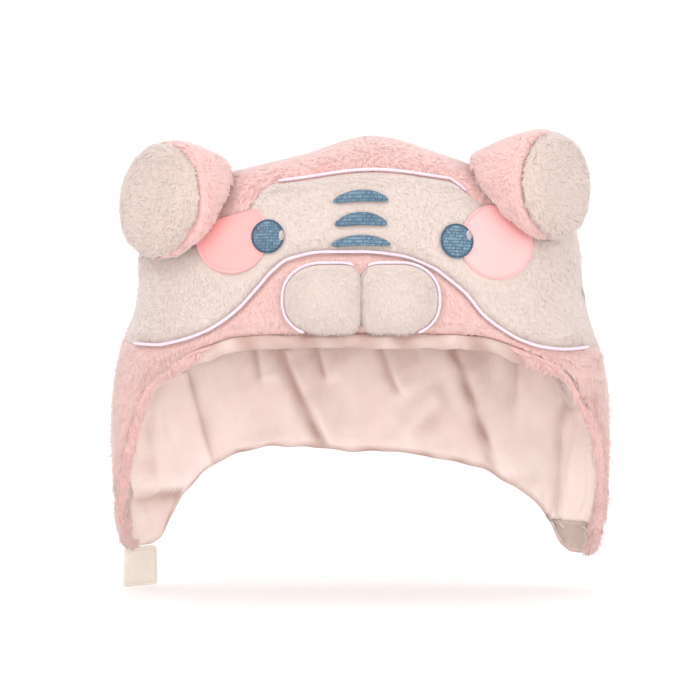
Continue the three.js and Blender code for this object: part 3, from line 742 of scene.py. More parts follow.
@dataclass(frozen=True)
class Thread(Finish):
    """Satin stitches laid side by side across a cord or a patch."""

    count: float = 1800.0
    stitches: float = 0.0
    shade: float = 0.3
    slant: float = 0.02
    depth: float = 0.0002

    def paint(self, shader: Shader, surface: bpy.types.Node, effects: Effects) -> None:
        """Lays the threads, gives each its own tone, and paints shade into the gaps between them."""
        parts = shader.add("SeparateXYZ", {0: shader.add("UVMap", uv_map="cloth").outputs[0]})
        inputs = {
            "Along": parts.outputs[0],
            "Across": parts.outputs[1],
            "Count": self.count,
            "Slant": self.slant,
            "Stitches": self.stitches,
        }
        laid = shader.add("Group", inputs, node_tree=effects.threads)
        body = self.clouded(shader, effects)
        share = shader.math("MULTIPLY", laid.outputs["Shade"], self.shade)
        shaded = shader.mix(share, body, self.second)
        # Painted shade: the low edges of the threads take the darker second colour
        colour = shader.mix(shader.ramp(laid.outputs["Height"], 0.0, 0.7), self.second, shaded)
        shader.tree.links.new(colour, surface.inputs["Base Color"])
        rough = shader.math("MULTIPLY_ADD", laid.outputs["Shade"], 0.15, self.roughness - 0.08)
        shader.tree.links.new(rough, surface.inputs["Roughness"])
        self.relief(shader, surface, laid.outputs["Height"], self.depth)


# Each plush's deep colour is the painted shade at its hair roots and on its skin
PINK_PLUSH = Plush(
    name="pink plush pile",
    slot=Slot.PINK,
    colour=linear(244, 199, 194),
    second=linear(241, 190, 185),
    deep=linear(239, 187, 182),
)
# A darker copy of the pink plush for the muzzle band: painted shade
SHADED_BAND_PINK = Plush(
    name="shaded pink plush pile",
    slot=Slot.PINK,
    colour=linear(239, 198, 192),
    second=linear(234, 188, 182),
    deep=linear(232, 185, 179),
)
# A lighter copy of the pink plush for the ear roots: painted light
LIT_EAR_PINK = Plush(
    name="deep pink plush pile",
    slot=Slot.PINK,
    colour=linear(252, 208, 203),
    second=linear(248, 198, 193),
    deep=linear(246, 195, 190),
)
CREAM_PLUSH = Plush(
    name="cream plush pile",
    slot=Slot.CREAM,
    colour=linear(228, 212, 204),
    second=linear(224, 206, 198),
    deep=linear(222, 203, 194),
)
# A darker copy of the cream plush for the ear cups: painted shade
SHADED_EAR_CREAM = Plush(
    name="shaded cream plush pile",
    slot=Slot.CREAM,
    colour=linear(226, 207, 198),
    second=linear(221, 200, 190),
    deep=linear(219, 197, 187),
)
LINING_KNIT = Knit(
    name="cream pink ribbed lining",
    slot=Slot.LINING,
    colour=linear(250, 233, 227),
    second=linear(243, 211, 206),
    # The colour of the painted shade in the folds and on the hem
    hollow=linear(192, 158, 148),
    depth=0.00012,
)
TAPE_WEAVE = Knit(
    name="woven cream tape",
    slot=Slot.TAPE,
    colour=linear(246, 236, 224),
    second=linear(232, 218, 206),
    ribs=6000.0,
)
LOOP_KNIT = Knit(
    name="looped fastener cloth",
    slot=Slot.LOOP,
    colour=linear(230, 208, 199),
    second=linear(208, 182, 173),
    ribs=5200.0,
    depth=0.0005,
)
PIPING_THREAD = Thread(
    name="pale piping thread",
    slot=Slot.PIPING,
    colour=linear(240, 224, 232),
    second=linear(224, 204, 222),
    roughness=0.5,
)
TAPE_THREAD = Thread(
    name="cream sewing thread",
    slot=Slot.TAPE,
    colour=linear(240, 230, 218),
    second=linear(228, 214, 202),
    roughness=0.6,
)
SATIN_PATCH = Thread(
    name="pink satin patch",
    slot=Slot.SATIN,
    colour=linear(250, 190, 188),
    second=linear(246, 180, 180),
    roughness=0.65,
    count=80.0,
    shade=0.15,
    depth=0.00003,
)
# A darker copy of the pink satin for the left cheek: painted shade
SHADED_SATIN = Thread(
    name="deep pink satin patch",
    slot=Slot.SATIN,
    colour=linear(250, 176, 172),
    second=linear(246, 166, 164),
    roughness=0.65,
    count=80.0,
    shade=0.15,
    depth=0.00003,
)
SATIN_EDGE = Thread(
    name="deep pink satin stitch",
    slot=Slot.SATIN,
    colour=linear(248, 188, 190),
    second=linear(240, 172, 176),
    roughness=0.5,
    count=1500.0,
)
BLUE_THREAD = Thread(
    name="blue satin stitch",
    slot=Slot.BLUE,
    colour=linear(124, 152, 168),
    second=linear(58, 86, 110),
    roughness=0.6,
    count=28.0,
    stitches=44.0,
    shade=0.85,
)
NAVY_THREAD = Thread(
    name="navy edge stitch",
    slot=Slot.BLUE,
    colour=linear(66, 96, 120),
    second=linear(40, 64, 88),
    roughness=0.5,
    count=1500.0,
)
BACKING = Knit(
    name="knitted plush backing",
    slot=Slot.PINK,
    colour=linear(240, 214, 208),
    second=linear(224, 190, 184),
)


def grid_shell(
    columns: int,
    rows: int,
    outer: Mapping,
    inner: Mapping | None = None,
    flat: Mapping | None = None,
) -> bmesh.types.BMesh:
    """Lays a grid on a surface, and gives it a wall where an inner surface is asked for.

    Args:
        columns: how many faces the grid has along u.
        rows: how many faces the grid has along v.
        outer: the outer surface's points from u and v, each from 0 to 1, v downwards.
        inner: the inner surface's points, or None for a surface that closes on itself.
        flat: the cloth's own coordinates in metres, for its UV map.

    Returns:
        The mesh, with material 0 outside, and 1 on the inner surface and the edges.
    """
    bm = bmesh.new()
    bmesh.ops.create_grid(bm, x_segments=columns, y_segments=rows, size=0.5)
    corners = np.array([v.co[:2] for v in bm.verts])
    u, v = corners[:, 0] + 0.5, 0.5 - corners[:, 1]
    cell = bm.verts.layers.int.new("cell")
    for i, vert in enumerate(bm.verts):
        vert[cell] = i
    cloth = flat(u, v) if flat else np.stack([u, v], axis=-1)
    layer = bm.loops.layers.uv.new("cloth")
    for face in bm.faces:
        face.smooth = True
        for loop in face.loops:
            loop[layer].uv = cloth[loop.vert[cell]]
    for vert, place in zip(bm.verts, outer(u, v)):
        vert.co = place
    bmesh.ops.remove_doubles(bm, verts=bm.verts[:], dist=1e-6)
    if inner is not None:
        made = bmesh.ops.extrude_face_region(bm, geom=bm.faces[:], use_keep_orig=True)["geom"]
        places = inner(u, v)
        for item in made:
            if isinstance(item, bmesh.types.BMVert):
                item.co = places[item[cell]]
            elif isinstance(item, bmesh.types.BMFace):
                item.material_index = 1
        walls = [f for f in bm.faces if len({tuple(v.co) for v in f.verts}) < 3]
        bmesh.ops.delete(bm, geom=walls, context="FACES_ONLY")
    bmesh.ops.recalc_face_normals(bm, faces=bm.faces[:])
    return bm


def piece_from(bm: bmesh.types.BMesh, name: str) -> bpy.types.Object:
    """Turns a bmesh into an object in the scene."""
    mesh = bpy.data.meshes.new(name)
    bm.to_mesh(mesh)
    bm.free()
    made = bpy.data.objects.new(name, mesh)
    bpy.context.scene.collection.objects.link(made)
    return made


def applied(piece: bpy.types.Object) -> bpy.types.Object:
    """Applies a piece's modifiers to its mesh."""
    graph = bpy.context.evaluated_depsgraph_get()
    mesh = bpy.data.meshes.new_from_object(piece.evaluated_get(graph))
    old = piece.data
    piece.modifiers.clear()
    piece.data = mesh
    mesh.name = old.name
    bpy.data.meshes.remove(old)
    return piece


def triangles(piece: bpy.types.Object) -> int:
    """How many triangles a piece's mesh has."""
    return sum(len(p.vertices) - 2 for p in piece.data.polygons)


@dataclass
class Workshop:
    """What every part of the cap is made with: the surface, the effects and the list of pieces."""

    shell: SeamSurface
    effects: Effects
    made: list[bpy.types.Object] = field(default_factory=list)

    def dress(
        self,
        piece: bpy.types.Object,
        finishes: Sequence[Finish],
        nodes: Sequence[str] = (),
        parent: bpy.types.Object | None = None,
    ) -> bpy.types.Object:
        """Gives a piece its finishes and its place in the frame.

        Args:
            piece: the finished mesh object.
            finishes: one finish for each of its material slots.
            nodes: the CAD nodes that the piece stands for.
            parent: the piece that this one belongs to, or None for one that rides by itself.

        Returns:
            The piece.
        """
        faces = piece.data.polygons
        shown = np.zeros(len(faces), np.int32)
        faces.foreach_get("material_index", shown)
        piece.data.materials.clear()
        for finish in finishes:
            piece.data.materials.append(finish.material(self.effects))
        faces.foreach_set("material_index", np.minimum(shown, len(finishes) - 1))
        if parent is None:
            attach(piece, BODY)
        else:
            piece.parent = parent
        if nodes:
            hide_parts(*nodes)
        self.made.append(piece)
        LOG.info("%s: %d triangles", piece.name, triangles(piece))
        return piece


class NearPieces:
    """Finds how near a point is to pieces that hairs keep clear of."""

    def __init__(self, pieces: Sequence[bpy.types.Object], spacing: float = 0.0006) -> None:
        """Scatters points over the pieces' surfaces."""
        rng = np.random.default_rng(11)
        clouds = [scatter(piece, spacing, rng)[0] for piece in pieces]
        points = np.vstack(clouds)
        self.tree = KDTree(len(points))
        for i, point in enumerate(points):
            self.tree.insert(point, i)
        self.tree.balance()

    def distance(self, points: np.ndarray) -> np.ndarray:
        """The distance from each point to the nearest piece."""
        return np.array([self.tree.find(point)[2] for point in points])


def scatter(
    piece: bpy.types.Object,
    spacing: float,
    rng: np.random.Generator,
    material: int = 0,
) -> tuple[np.ndarray, np.ndarray]:
    """Scatters points evenly over the faces of a piece that have one of its materials.

    Args:
        piece: the piece.
        spacing: the usual distance between points, in metres.
        rng: the random generator.
        material: which of the piece's materials, with 0 for its outer faces.

    Returns:
        The points and the surface's normals there.
    """
    mesh = piece.data
    mesh.calc_loop_triangles()
    count = len(mesh.loop_triangles)
    corner = np.empty(count * 3, np.int32)
    mesh.loop_triangles.foreach_get("vertices", corner)
    owner = np.empty(count, np.int32)
    mesh.loop_triangles.foreach_get("material_index", owner)
    corner = corner.reshape(-1, 3)[owner == material]
    places = np.empty(len(mesh.vertices) * 3)
    mesh.vertices.foreach_get("co", places)
    normals = np.empty(len(mesh.vertices) * 3)
    mesh.vertices.foreach_get("normal", normals)
    places, normals = places.reshape(-1, 3), normals.reshape(-1, 3)
    a, b, c = (places[corner[:, k]] for k in range(3))
    areas = np.linalg.norm(np.cross(b - a, c - a), axis=1) / 2
    wanted = int(areas.sum() / spacing**2)
    marks = (np.arange(wanted) + rng.uniform(0, 1, wanted)) / wanted
    which = np.searchsorted(np.cumsum(areas) / areas.sum(), marks).clip(0, len(areas) - 1)
    root = np.sqrt(rng.uniform(0, 1, wanted))
    share = rng.uniform(0, 1, wanted)
    weights = np.stack([1 - root, root * (1 - share), root * share], axis=-1)[..., None]
    chosen = corner[which]
    points = (places[chosen] * weights).sum(axis=1)
    return points, unit((normals[chosen] * weights).sum(axis=1))


@dataclass
class Pile:
    """The pile of a plush piece, grown over its outer faces as one mesh of thin spikes.

    Lengths are in metres. Lean is how far a hair lies over for each unit that it stands up,
    tuft is how far hairs gather into tufts, and a rim pile is combed back from the rim.
    """

    finish: Finish
    length: float
    spacing: float
    width: float = 0.0007
    lean: float = 5.0
    tuft: float = 0.3
    comb: tuple[float, float, float] = (0.0, 0.0, -1.0)
    spread: float = 0.3
    seed: int = 1
    rim: bool = False
    material: int = 0

    def grow(
        self,
        workshop: Workshop,
        piece: bpy.types.Object,
        near: NearPieces | None = None,
        clear: float = 0.0012,
        parts: int = 1,
    ) -> list[bpy.types.Object]:
        """Grows the pile.

        Args:
            workshop: what the pieces are made with.
            piece: the plush piece that the hairs stand on.
            near: the pieces that the hairs keep clear of.
            clear: the distance within which no hair stands.
            parts: how many meshes the pile is split into, round the cap.

        Returns:
            The pile's objects.
        """
        rng = np.random.default_rng(self.seed)
        roots, normals = scatter(piece, self.spacing, rng, self.material)
        scale = np.ones(len(roots))
        if near is not None:
            distance = near.distance(roots)
            keep = distance > clear
            scale = 0.45 + 0.55 * ease(distance, clear, clear + self.length)
            roots, normals, scale = roots[keep], normals[keep], scale[keep]
        ways = np.tile(np.array(self.comb, float), (len(roots), 1))
        if self.rim:
            ways, scale = self._by_the_rim(workshop.shell, roots, ways, scale)
        hairs = self._hairs(roots, normals, ways, scale, rng)
        bounds = np.linspace(0, len(roots), parts + 1).astype(int)
        order = np.argsort(roots[:, 0], kind="stable")
        made = []
        for k in range(parts):
            chosen = order[bounds[k] : bounds[k + 1]]
            label = f"{piece.name.removesuffix('_plush')}_pile" + (f"_{k + 1}" if parts > 1 else "")
            pile = self._mesh(label, *(part[chosen] for part in hairs))
            made.append(workshop.dress(pile, [self.finish], parent=piece))
        return made

    def _by_the_rim(
        self,
        shell: SeamSurface,
        roots: np.ndarray,
        ways: np.ndarray,
        scale: np.ndarray,
    ) -> tuple[np.ndarray, np.ndarray]:
        """Combs and trims the hairs beside the rim.

        Args:
            shell: the seam surface.
            roots: where the hairs stand.
            ways: how each is combed.
            scale: each hair's share of the full length.

        Returns:
            The new ways and scales.
        """
        turn = np.abs(shell.angle_of(roots))
        above = shell.above_rim(roots)
        beside = (1 - ease(above, 0.005, 0.016))[:, None]
        over = (ease(turn, 34, 44) * (1 - ease(turn, 98, 110)))[:, None]
        rim_way = over * np.array([0.0, 0.6, -0.9]) + (1 - over) * np.array([0.0, 0.2, 0.9])
        short = 1 - (0.5 * (1 - over) * (1 - ease(above, 0.003, 0.012))[:, None])[:, 0]
        longer = 1 + 0.4 * (over * beside)[:, 0]
        return ways * (1 - beside) + rim_way * beside, scale * short * longer

    def _hairs(
        self,
        roots: np.ndarray,
        normals: np.ndarray,
        ways: np.ndarray,
        scale: np.ndarray,
        rng: np.random.Generator,
    ) -> tuple[np.ndarray, np.ndarray, np.ndarray]:
        """Shapes every hair as a thin spike with a ridge, open below.

        Args:
            roots: where the hairs stand.
            normals: the surface's normals there.
            ways: how each hair is combed.
            scale: each hair's share of the full length.
            rng: the random generator.

        Returns:
            The corners, four to a hair; the shading normals, four to a hair; and the tints.
        """
        # Two slow swirls turn the pile, and two finer pairs gather it into tufts
        count = len(roots)
        down = unit(ways - (ways * normals).sum(axis=1, keepdims=True) * normals + 1e-6)
        aside = np.cross(normals, down)
        swirl = [
            ripples(roots, size, self.seed * 10 + k)[:, None]
            for k, size in enumerate((0.028, 0.03, 0.0075, 0.008, 0.0034, 0.0036))
        ]
        sway = down * (1 + 0.5 * swirl[0] + self.tuft * (swirl[2] + 0.7 * swirl[4]))
        sway += aside * (0.6 * swirl[1] + self.tuft * (swirl[3] + 0.7 * swirl[5]))
        sway += rng.normal(0, self.spread, (count, 3))
        sway = unit(sway - (sway * normals).sum(axis=1, keepdims=True) * normals)
        way = unit(normals + self.lean * sway * rng.uniform(0.8, 1.25, (count, 1)))
        length = self.length * scale * rng.uniform(0.75, 1.2, count)
        length *= 1 + 0.16 * ripples(roots, 0.006, self.seed * 10 + 8)
        blade = unit(np.cross(way, normals))
        rise = np.cross(blade, way)
        thick = (self.width / 2) * rng.uniform(0.8, 1.25, (count, 1))
        corners = np.stack(
            [
                roots + blade * thick,
                roots - blade * thick,
                roots + rise * thick * 1.2,
                roots + way * length[:, None],
            ],
            axis=1,
        )
        lit = unit(normals + 0.12 * way)
        shading = np.stack([normals, normals, normals, lit], axis=1)
        tint = rng.uniform(0, 1, count) * 0.7 + 0.3 * (0.5 + 0.5 * swirl[4][:, 0]).clip(0, 1)
        return corners, shading, tint

    def _mesh(
        self,
        name: str,
        corners: np.ndarray,
        shading: np.ndarray,
        tint: np.ndarray,
    ) -> bpy.types.Object:
        """Joins the hairs into one mesh of two triangles each."""
        count = len(corners)
        first = corners[0]
        if np.dot(np.cross(first[1] - first[0], first[2] - first[0]), first[3] - first[0]) > 0:
            corners, shading = (part[:, (1, 0, 2, 3)] for part in (corners, shading))
        mesh = bpy.data.meshes.new(name)
        mesh.vertices.add(4 * count)
        mesh.vertices.foreach_set("co", corners.astype(np.float32).ravel())
        loops = (np.arange(count)[:, None] * 4 + np.array([1, 3, 2, 2, 3, 0])).ravel()
        mesh.loops.add(len(loops))
        mesh.loops.foreach_set("vertex_index", loops.astype(np.int32))
        mesh.polygons.add(2 * count)
        mesh.polygons.foreach_set("loop_start", np.arange(0, 6 * count, 3, dtype=np.int32))
        mesh.polygons.foreach_set("use_smooth", np.ones(2 * count, bool))
        values = {"tint": np.repeat(tint, 4), "tip": np.tile([0.0, 0.0, 0.2, 1.0], count)}
        for label, value in values.items():
            layer = mesh.attributes.new(label, "FLOAT", "POINT")
            layer.data.foreach_set("value", value.astype(np.float32))
        mesh.update(calc_edges=True)
        mesh.normals_split_custom_set_from_vertices(shading.reshape(-1, 3))
        made = bpy.data.objects.new(name, mesh)
        bpy.context.scene.collection.objects.link(made)
        return made


@dataclass
class PlushPanel:
    """A sewn panel of plush between two seams, over a run of angles."""

    name: str
    node: str
    pile: Pile
    start: float
    end: float
    top: Callable[[np.ndarray], np.ndarray]
    bottom: Callable[[np.ndarray], np.ndarray]
    columns: int
    rows: int
    skin: float = 0.74
    dents: float = 0.0007
    ring: bool = False
    pole: bool = False

    def build(self, workshop: Workshop) -> bpy.types.Object:
        """Makes the panel as a padded piece, with its skin below the tips of its pile."""
        shell = workshop.shell
        seam = math.degrees(shell.gap / 2 / shell.half_depth)
        ends = (self.start, self.end) if self.ring else (self.start + seam, self.end - seam)

        def place(u: np.ndarray, v: np.ndarray, outside: bool) -> np.ndarray:
            angle = ends[0] + (ends[1] - ends[0]) * u
            high, low = (shell.station(f(angle)) for f in (self.top, self.bottom))
            station = high + (low - high) * (0.5 - np.cos(v * math.pi) / 2 if not self.pole else v)
            if not outside:
                return shell.lifted(angle, station, shell.gap / 2)
            at = shell.point(angle, station)
            edges = [np.linalg.norm(at - shell.point(angle, low), axis=-1)]
            if not self.pole:
                edges.append(np.linalg.norm(at - shell.point(angle, high), axis=-1))
            if not self.ring:
                walk = np.radians(np.minimum(angle - ends[0], ends[1] - angle))
                edges.append(walk * shell.half_depth)
            distance = np.minimum.reduce(edges)
            thick = shell.pile_at(distance) * self.skin
            thick += self.dents * ripples(at, 0.05, self.pile.seed + 50) * ease(distance, 0, 0.01)
            return shell.lifted(angle, station, shell.gap / 2 + thick)

        bm = grid_shell(
            self.columns,
            self.rows,
            lambda u, v: place(u, v, True),
            lambda u, v: place(u, v, False),
        )
        piece = piece_from(bm, self.name)
        workshop.dress(piece, [self.pile.finish, BACKING], [self.node])
        return piece


@dataclass
class Lining:
    """The gathered lining inside the cap, turned out round the rim as the rolled hem."""

    columns: int = 480
    inside_rows: int = 112
    hem_rows: int = 14
    outside_rows: int = 24
    hem_reach: tuple[float, float] = (0.004, 0.0026)
    hem_section: tuple = ((0, 0.4), (0.24, 0.02), (0.55, 0), (0.94, 0.25), (1, 0.6), (0.9, 0.95))
    furred_rows: int = 8
    outer_share: float = 0.4
    cloth: tuple[float, float] = (0.56, 0.4)

    @property
    def rows(self) -> int:
        """How many rows go from the crown's inside over the hem and back."""
        return self.inside_rows + self.hem_rows + self.outside_rows

    def folded(self, shell: SeamSurface, angle: np.ndarray, places: np.ndarray) -> np.ndarray:
        """Moves points of the lining into its folds.

        Args:
            shell: the seam surface.
            angle: the angle of each point.
            places: the points.

        Returns:
            The points, moved in and over.
        """
        inwards = places * 0.0
        inwards[:, 0] = -np.sign(np.sin(np.radians(angle))) * np.abs(np.sin(np.radians(angle)))
        inwards[:, 1] = np.cos(np.radians(angle)) * shell.half_width / shell.half_depth
        inwards = unit(inwards)
        moved = places.copy()
        for fold in FOLDS:
            rise, over = fold.rise(places)
            moved += inwards * rise[:, None]
            moved[:, (0, 2)] += over
        return moved

    def inside(
        self,
        shell: SeamSurface,
        angle: np.ndarray,
        station: np.ndarray,
        extra: float,
    ) -> np.ndarray:
        """The lining's inner face at an angle and a station, and a little further in."""
        fall = shell.girth(station)[2]
        at = shell.point(angle, station)
        top = shell.station(shell.hem_top(angle))
        near_rim = np.exp(-np.linalg.norm(at - shell.point(angle, top), axis=-1) / 0.009)
        creases = 0.0014 * np.abs(ripples(at * (1, 1, 0.45), 0.022, 71))
        creases += 0.0005 * ripples(at, 0.012, 72) + 0.0005 * near_rim * ripples(at, 0.006, 73)
        loose = np.maximum(creases, -0.0006) * ease(fall, 0.5, 0.95)
        skin = self.depth(shell, angle, fall) + shell.wall + loose + extra
        return self.folded(shell, angle, shell.lifted(angle, station, -skin))

    def depth(self, shell: SeamSurface, angle: np.ndarray, fall: np.ndarray) -> np.ndarray:
        """How deep the lining's outside lies under the seam surface, without its folds."""
        low, high = 0.85, shell.hem_top(angle)
        t = np.clip((fall - low) / (high - low), 0, 1)
        return shell.gap / 2 + shell.slack * (1 - t * t * (3 - 2 * t))

    def hem(self, shell: SeamSurface, angle: np.ndarray, share: np.ndarray) -> np.ndarray:
        """The rolled hem, from its inner edge (0) under the rim to its outer edge (1)."""
        section = curve_through(np.array(self.hem_section, float), 400)
        out, up = (np.interp(share * 399, np.arange(400), section[:, k]) for k in (0, 1))
        rim = shell.at(angle, shell.rim(angle), 0.0)
        soft = 1 + 0.09 * ripples(rim * (1, 1, 0), 0.016, 74)
        height = shell.height(shell.rim(angle), angle) + up * shell.hem_height(angle) * soft
        height += 0.0005 * ripples(rim * (1, 1, 0), 0.021, 75)
        low = -shell.gap / 2 - shell.wall
        turn = ease(np.abs(shell.wrapped(angle)), *shell.hem_turn)
        full = self.hem_reach[0] + (self.hem_reach[1] - self.hem_reach[0]) * turn
        wrinkle = 0.0004 * ripples(rim * (1, 1, 0) + up[:, None] * (0, 0, 0.006), 0.009, 76)
        reach = low + (full - low) * out + wrinkle * out
        edge = shell.at(angle, shell.fall(height, angle), reach)
        pulled = self.folded(shell, angle, edge)
        return edge + (pulled - edge) * self.outer_share

    def furred_from(self, turn: float) -> float:
        """The row, counted from the hem's inner edge, from which the cloth is furred."""
        covered = self.hem_rows * (1 - ease(turn, 34, 46)) + 30 * ease(turn, 104, 112)
        return covered - self.furred_rows * ease(turn, 46, 62) * (1 - ease(turn, 84, 94))

    def build(self, workshop: Workshop) -> bpy.types.Object:
        """Makes the lining as one closed cloth, furred over the front edges of the flaps."""
        shell = workshop.shell

        def place(u: np.ndarray, v: np.ndarray) -> np.ndarray:
            angle = -180 + 360 * u
            row = np.rint(v * self.rows)
            top = shell.station(shell.hem_top(angle))
            inner = self.inside(shell, angle, np.clip(row / self.inside_rows, 0, 1) * top, 0.0)
            back = np.clip((self.rows - row) / self.outside_rows, 0, 1) * top
            deep = self.depth(shell, angle, shell.girth(back)[2])
            outer = shell.lifted(angle, back, -deep)
            outer += (self.folded(shell, angle, outer) - outer) * self.outer_share
            hem = self.hem(shell, angle, np.clip((row - self.inside_rows) / self.hem_rows, 0, 1))
            is_inner = (row <= self.inside_rows)[:, None]
            is_outer = (row >= self.rows - self.outside_rows)[:, None]
            return np.where(is_inner, inner, np.where(is_outer, outer, hem))

        bm = grid_shell(
            self.columns,
            self.rows,
            place,
            flat=lambda u, v: np.stack([u, v], axis=-1) * self.cloth,
        )
        layer = bm.loops.layers.uv["cloth"]
        bm.verts.index_update()
        beyond = np.zeros(len(bm.verts))
        for face in bm.faces:
            for loop in face.loops:
                beyond[loop.vert.index] = loop[layer].uv.y / self.cloth[1] * self.rows - self.inside_rows
            u, v = sum((loop[layer].uv for loop in face.loops), Vector((0, 0))) / len(face.loops)
            turn = np.abs(u / self.cloth[0] * 360 - 180)
            row = v / self.cloth[1] * self.rows - self.inside_rows
            face.material_index = int(self.furred_from(turn) < row < self.hem_rows)
        shade = bm.verts.layers.float.new("hollow")
        places = np.array([vert.co for vert in bm.verts])
        # The cloth's colour gets painted shade in its folds, under the hem and under the left flap's
        # step
        hollow = np.clip(sum(fold.hollow(places) for fold in FOLDS), 0, 1)
        hollow += 0.3 * ease(places[:, 2], -0.116, -0.098)
        hollow += 0.2 * ease(-places[:, 2], 0.177, 0.181) * ease(-places[:, 0], 0.08, 0.09)
        hollow *= ease(places[:, 1], -0.04, -0.01)
        # Painted shade on the rolled hem, a little uneven, all the way round
        painted_hem_shade = 0.66 * (1 + 0.3 * ripples(places * (1, 1, 0.5), 0.014, 78))
        hollow = np.where((beyond > 0) & (beyond <= self.hem_rows), painted_hem_shade, hollow).clip(0, 1)
        for vert, value in zip(bm.verts, hollow):
            vert[shade] = value
        piece = piece_from(bm, "gathered_lining")
        workshop.dress(piece, [LINING_KNIT, PINK_PLUSH], ["lining"])
        pile = Pile(PINK_PLUSH, 0.0034, 0.0007, seed=8, comb=(0.0, 0.5, -1.0), material=1)
        made = pile.grow(workshop, piece)
        return piece


@dataclass
class StrapTab:
    """The woven chin tab that hangs from the left flap, with a stitched border."""

    angle: float = -110.0
    width: float = 0.025
    length: float = 0.021
    thickness: float = 0.0018
    hem_share: float = 0.0026 / 3

    def build(self, workshop: Workshop) -> list[bpy.types.Object]:
        """Makes the tab and its stitches."""
        shell = workshop.shell
        angle = np.array([self.angle])
        rim = shell.rim(angle)
        at, out = (shell.at(angle, rim, lift)[0] for lift in (self.hem_share, self.hem_share + 1))
        facing = unit((out - at) * (1, 1, 0))
        across = np.array([-facing[1], facing[0], 0.0])
        middle = at - (0, 0, shell.gap + self.length / 2)

        def face(u: np.ndarray, v: np.ndarray, side: int) -> np.ndarray:
            a, b = 2 * u - 1, 1 - 2 * v
            edge = np.maximum(np.abs(a), np.abs(b)) ** 10
            thick = self.thickness * (0.34 + 0.12 * (1 - edge)) * side
            x = a * self.width / 2 * (1 - 0.05 * np.abs(b) ** 10)
            z = b * self.length / 2 * (1 - 0.06 * np.abs(a) ** 10)
            bend = 0.0004 * np.sin(a * 2.1) * (1 - b) + thick
            return middle + x[:, None] * across + z[:, None] * (0, 0, 1) + bend[:, None] * facing

        bm = grid_shell(
            60,
            50,
            lambda u, v: face(u, v, 1),
            lambda u, v: face(u, v, -1),
            lambda u, v: np.stack([u * self.width, v * self.length], axis=-1),
        )
        weave = piece_from(bm, "strap_tab_weave")
        tab = workshop.dress(weave, [TAPE_WEAVE, TAPE_WEAVE], ["strap_tab"])
        turn = np.linspace(0, 2 * math.pi, 300)
        square = [np.sign(w) * np.abs(w) ** 0.18 for w in (np.sin(turn), np.cos(turn))]
        seams = []
        for name, side in (("outer", 1), ("inner", -1)):
            path = face(0.5 + 0.42 * square[0], 0.5 - 0.4 * square[1], side)
            seam = StitchedCord(f"strap_tab_{name}_seam", "", TAPE_THREAD, path, 0.0003, 0.0018, 0.45)
            seams.append(seam.build(workshop))
        return [tab, *seams]


@dataclass
class FastenerPatch:
    """The loop patch inside the right flap's tip, sewn on the lining."""

    start: float = 92.0
    end: float = 127.0
    above_rim: float = 0.0025
    height: float = 0.015
    thickness: float = 0.001

    def build(self, workshop: Workshop, lining: Lining) -> list[bpy.types.Object]:
        """Makes the patch and the row of stitches at its front end."""
        shell = workshop.shell
        middle = (self.start + self.end) / 2
        tip = float(shell.height(np.array(2.0), np.array(middle)))
        high = tip + self.above_rim + self.height

        def face(u: np.ndarray, v: np.ndarray, top: bool) -> np.ndarray:
            a, b = 2 * u - 1, 2 * v - 1
            angle = middle + (self.end - self.start) / 2 * a * (1 - 0.06 * np.abs(b) ** 8)
            low = shell.height(shell.rim(angle), angle) + self.above_rim * shell.rim_stretch(angle)
            share = 0.5 + b / 2 * (1 - 0.08 * np.abs(a) ** 8)
            fall = shell.fall(high + (low - high) * share, angle)
            edge = np.maximum(np.abs(a), np.abs(b)) ** 12
            rise = 0.0001 + (self.thickness * (1 - 0.6 * edge) if top else 0.0)
            station = shell.station(fall)
            inner = lining.inside(shell, angle, station, 0.0)
            inwards = unit(lining.inside(shell, angle, station, 0.002) - inner)
            return inner + inwards * np.broadcast_to(rise, a.shape)[:, None]

        width = math.radians(self.end - self.start) * shell.half_depth * 1.3
        bm = grid_shell(
            70,
            40,
            lambda u, v: face(u, v, True),
            lambda u, v: face(u, v, False),
            lambda u, v: np.stack([u * width, v * self.height], axis=-1),
        )
        loops = piece_from(bm, "fastener_patch_loops")
        patch = workshop.dress(loops, [LOOP_KNIT, LOOP_KNIT], ["fastener_patch"])
        down = np.linspace(0.15, 0.85, 120)
        path = face(np.full(120, 0.16), down, True)
        seam = StitchedCord("fastener_patch_seam", "", TAPE_THREAD, path, 0.0004, 0.0022, 0.6)
        return [patch, seam.build(workshop)]


@dataclass
class FacePad:
    """A patch laid on the face: flat underneath, domed on top, with any outline."""

    name: str
    node: str
    finish: Finish
    x: float
    z: float
    outline: Outline
    edge: float
    rise: float
    spokes: int = 96
    rings: int = 20
    dome: float = 2.0
    ridge: float = 0.0
    base: float | None = None

    def build(self, workshop: Workshop) -> bpy.types.Object:
        """Makes the patch in its place on the face."""
        shell = workshop.shell
        base = shell.trim_base if self.base is None else self.base

        def place(u: np.ndarray, v: np.ndarray, top: bool) -> np.ndarray:
            dx, dz = self.outline(u * 2 * math.pi)
            lift = np.full_like(u, base)
            if top:
                lift += self.edge + (self.rise - self.edge) * (1 - v**self.dome)
                lift += self.ridge * np.sin(dz * v * 2 * math.pi / 0.0011) * (1 - v**8)
            return shell.on_face(self.x + dx * v, self.z + dz * v, lift)

        def flat(u: np.ndarray, v: np.ndarray) -> np.ndarray:
            dx, dz = self.outline(u * 2 * math.pi)
            return np.stack([dz * v * 50, dx * v * 50], axis=-1)

        bm = grid_shell(
            self.spokes,
            self.rings,
            lambda u, v: place(u, v, True),
            lambda u, v: place(u, v, False),
            flat,
        )
        nodes = [self.node] if self.node else []
        return workshop.dress(piece_from(bm, self.name), [self.finish, self.finish], nodes)


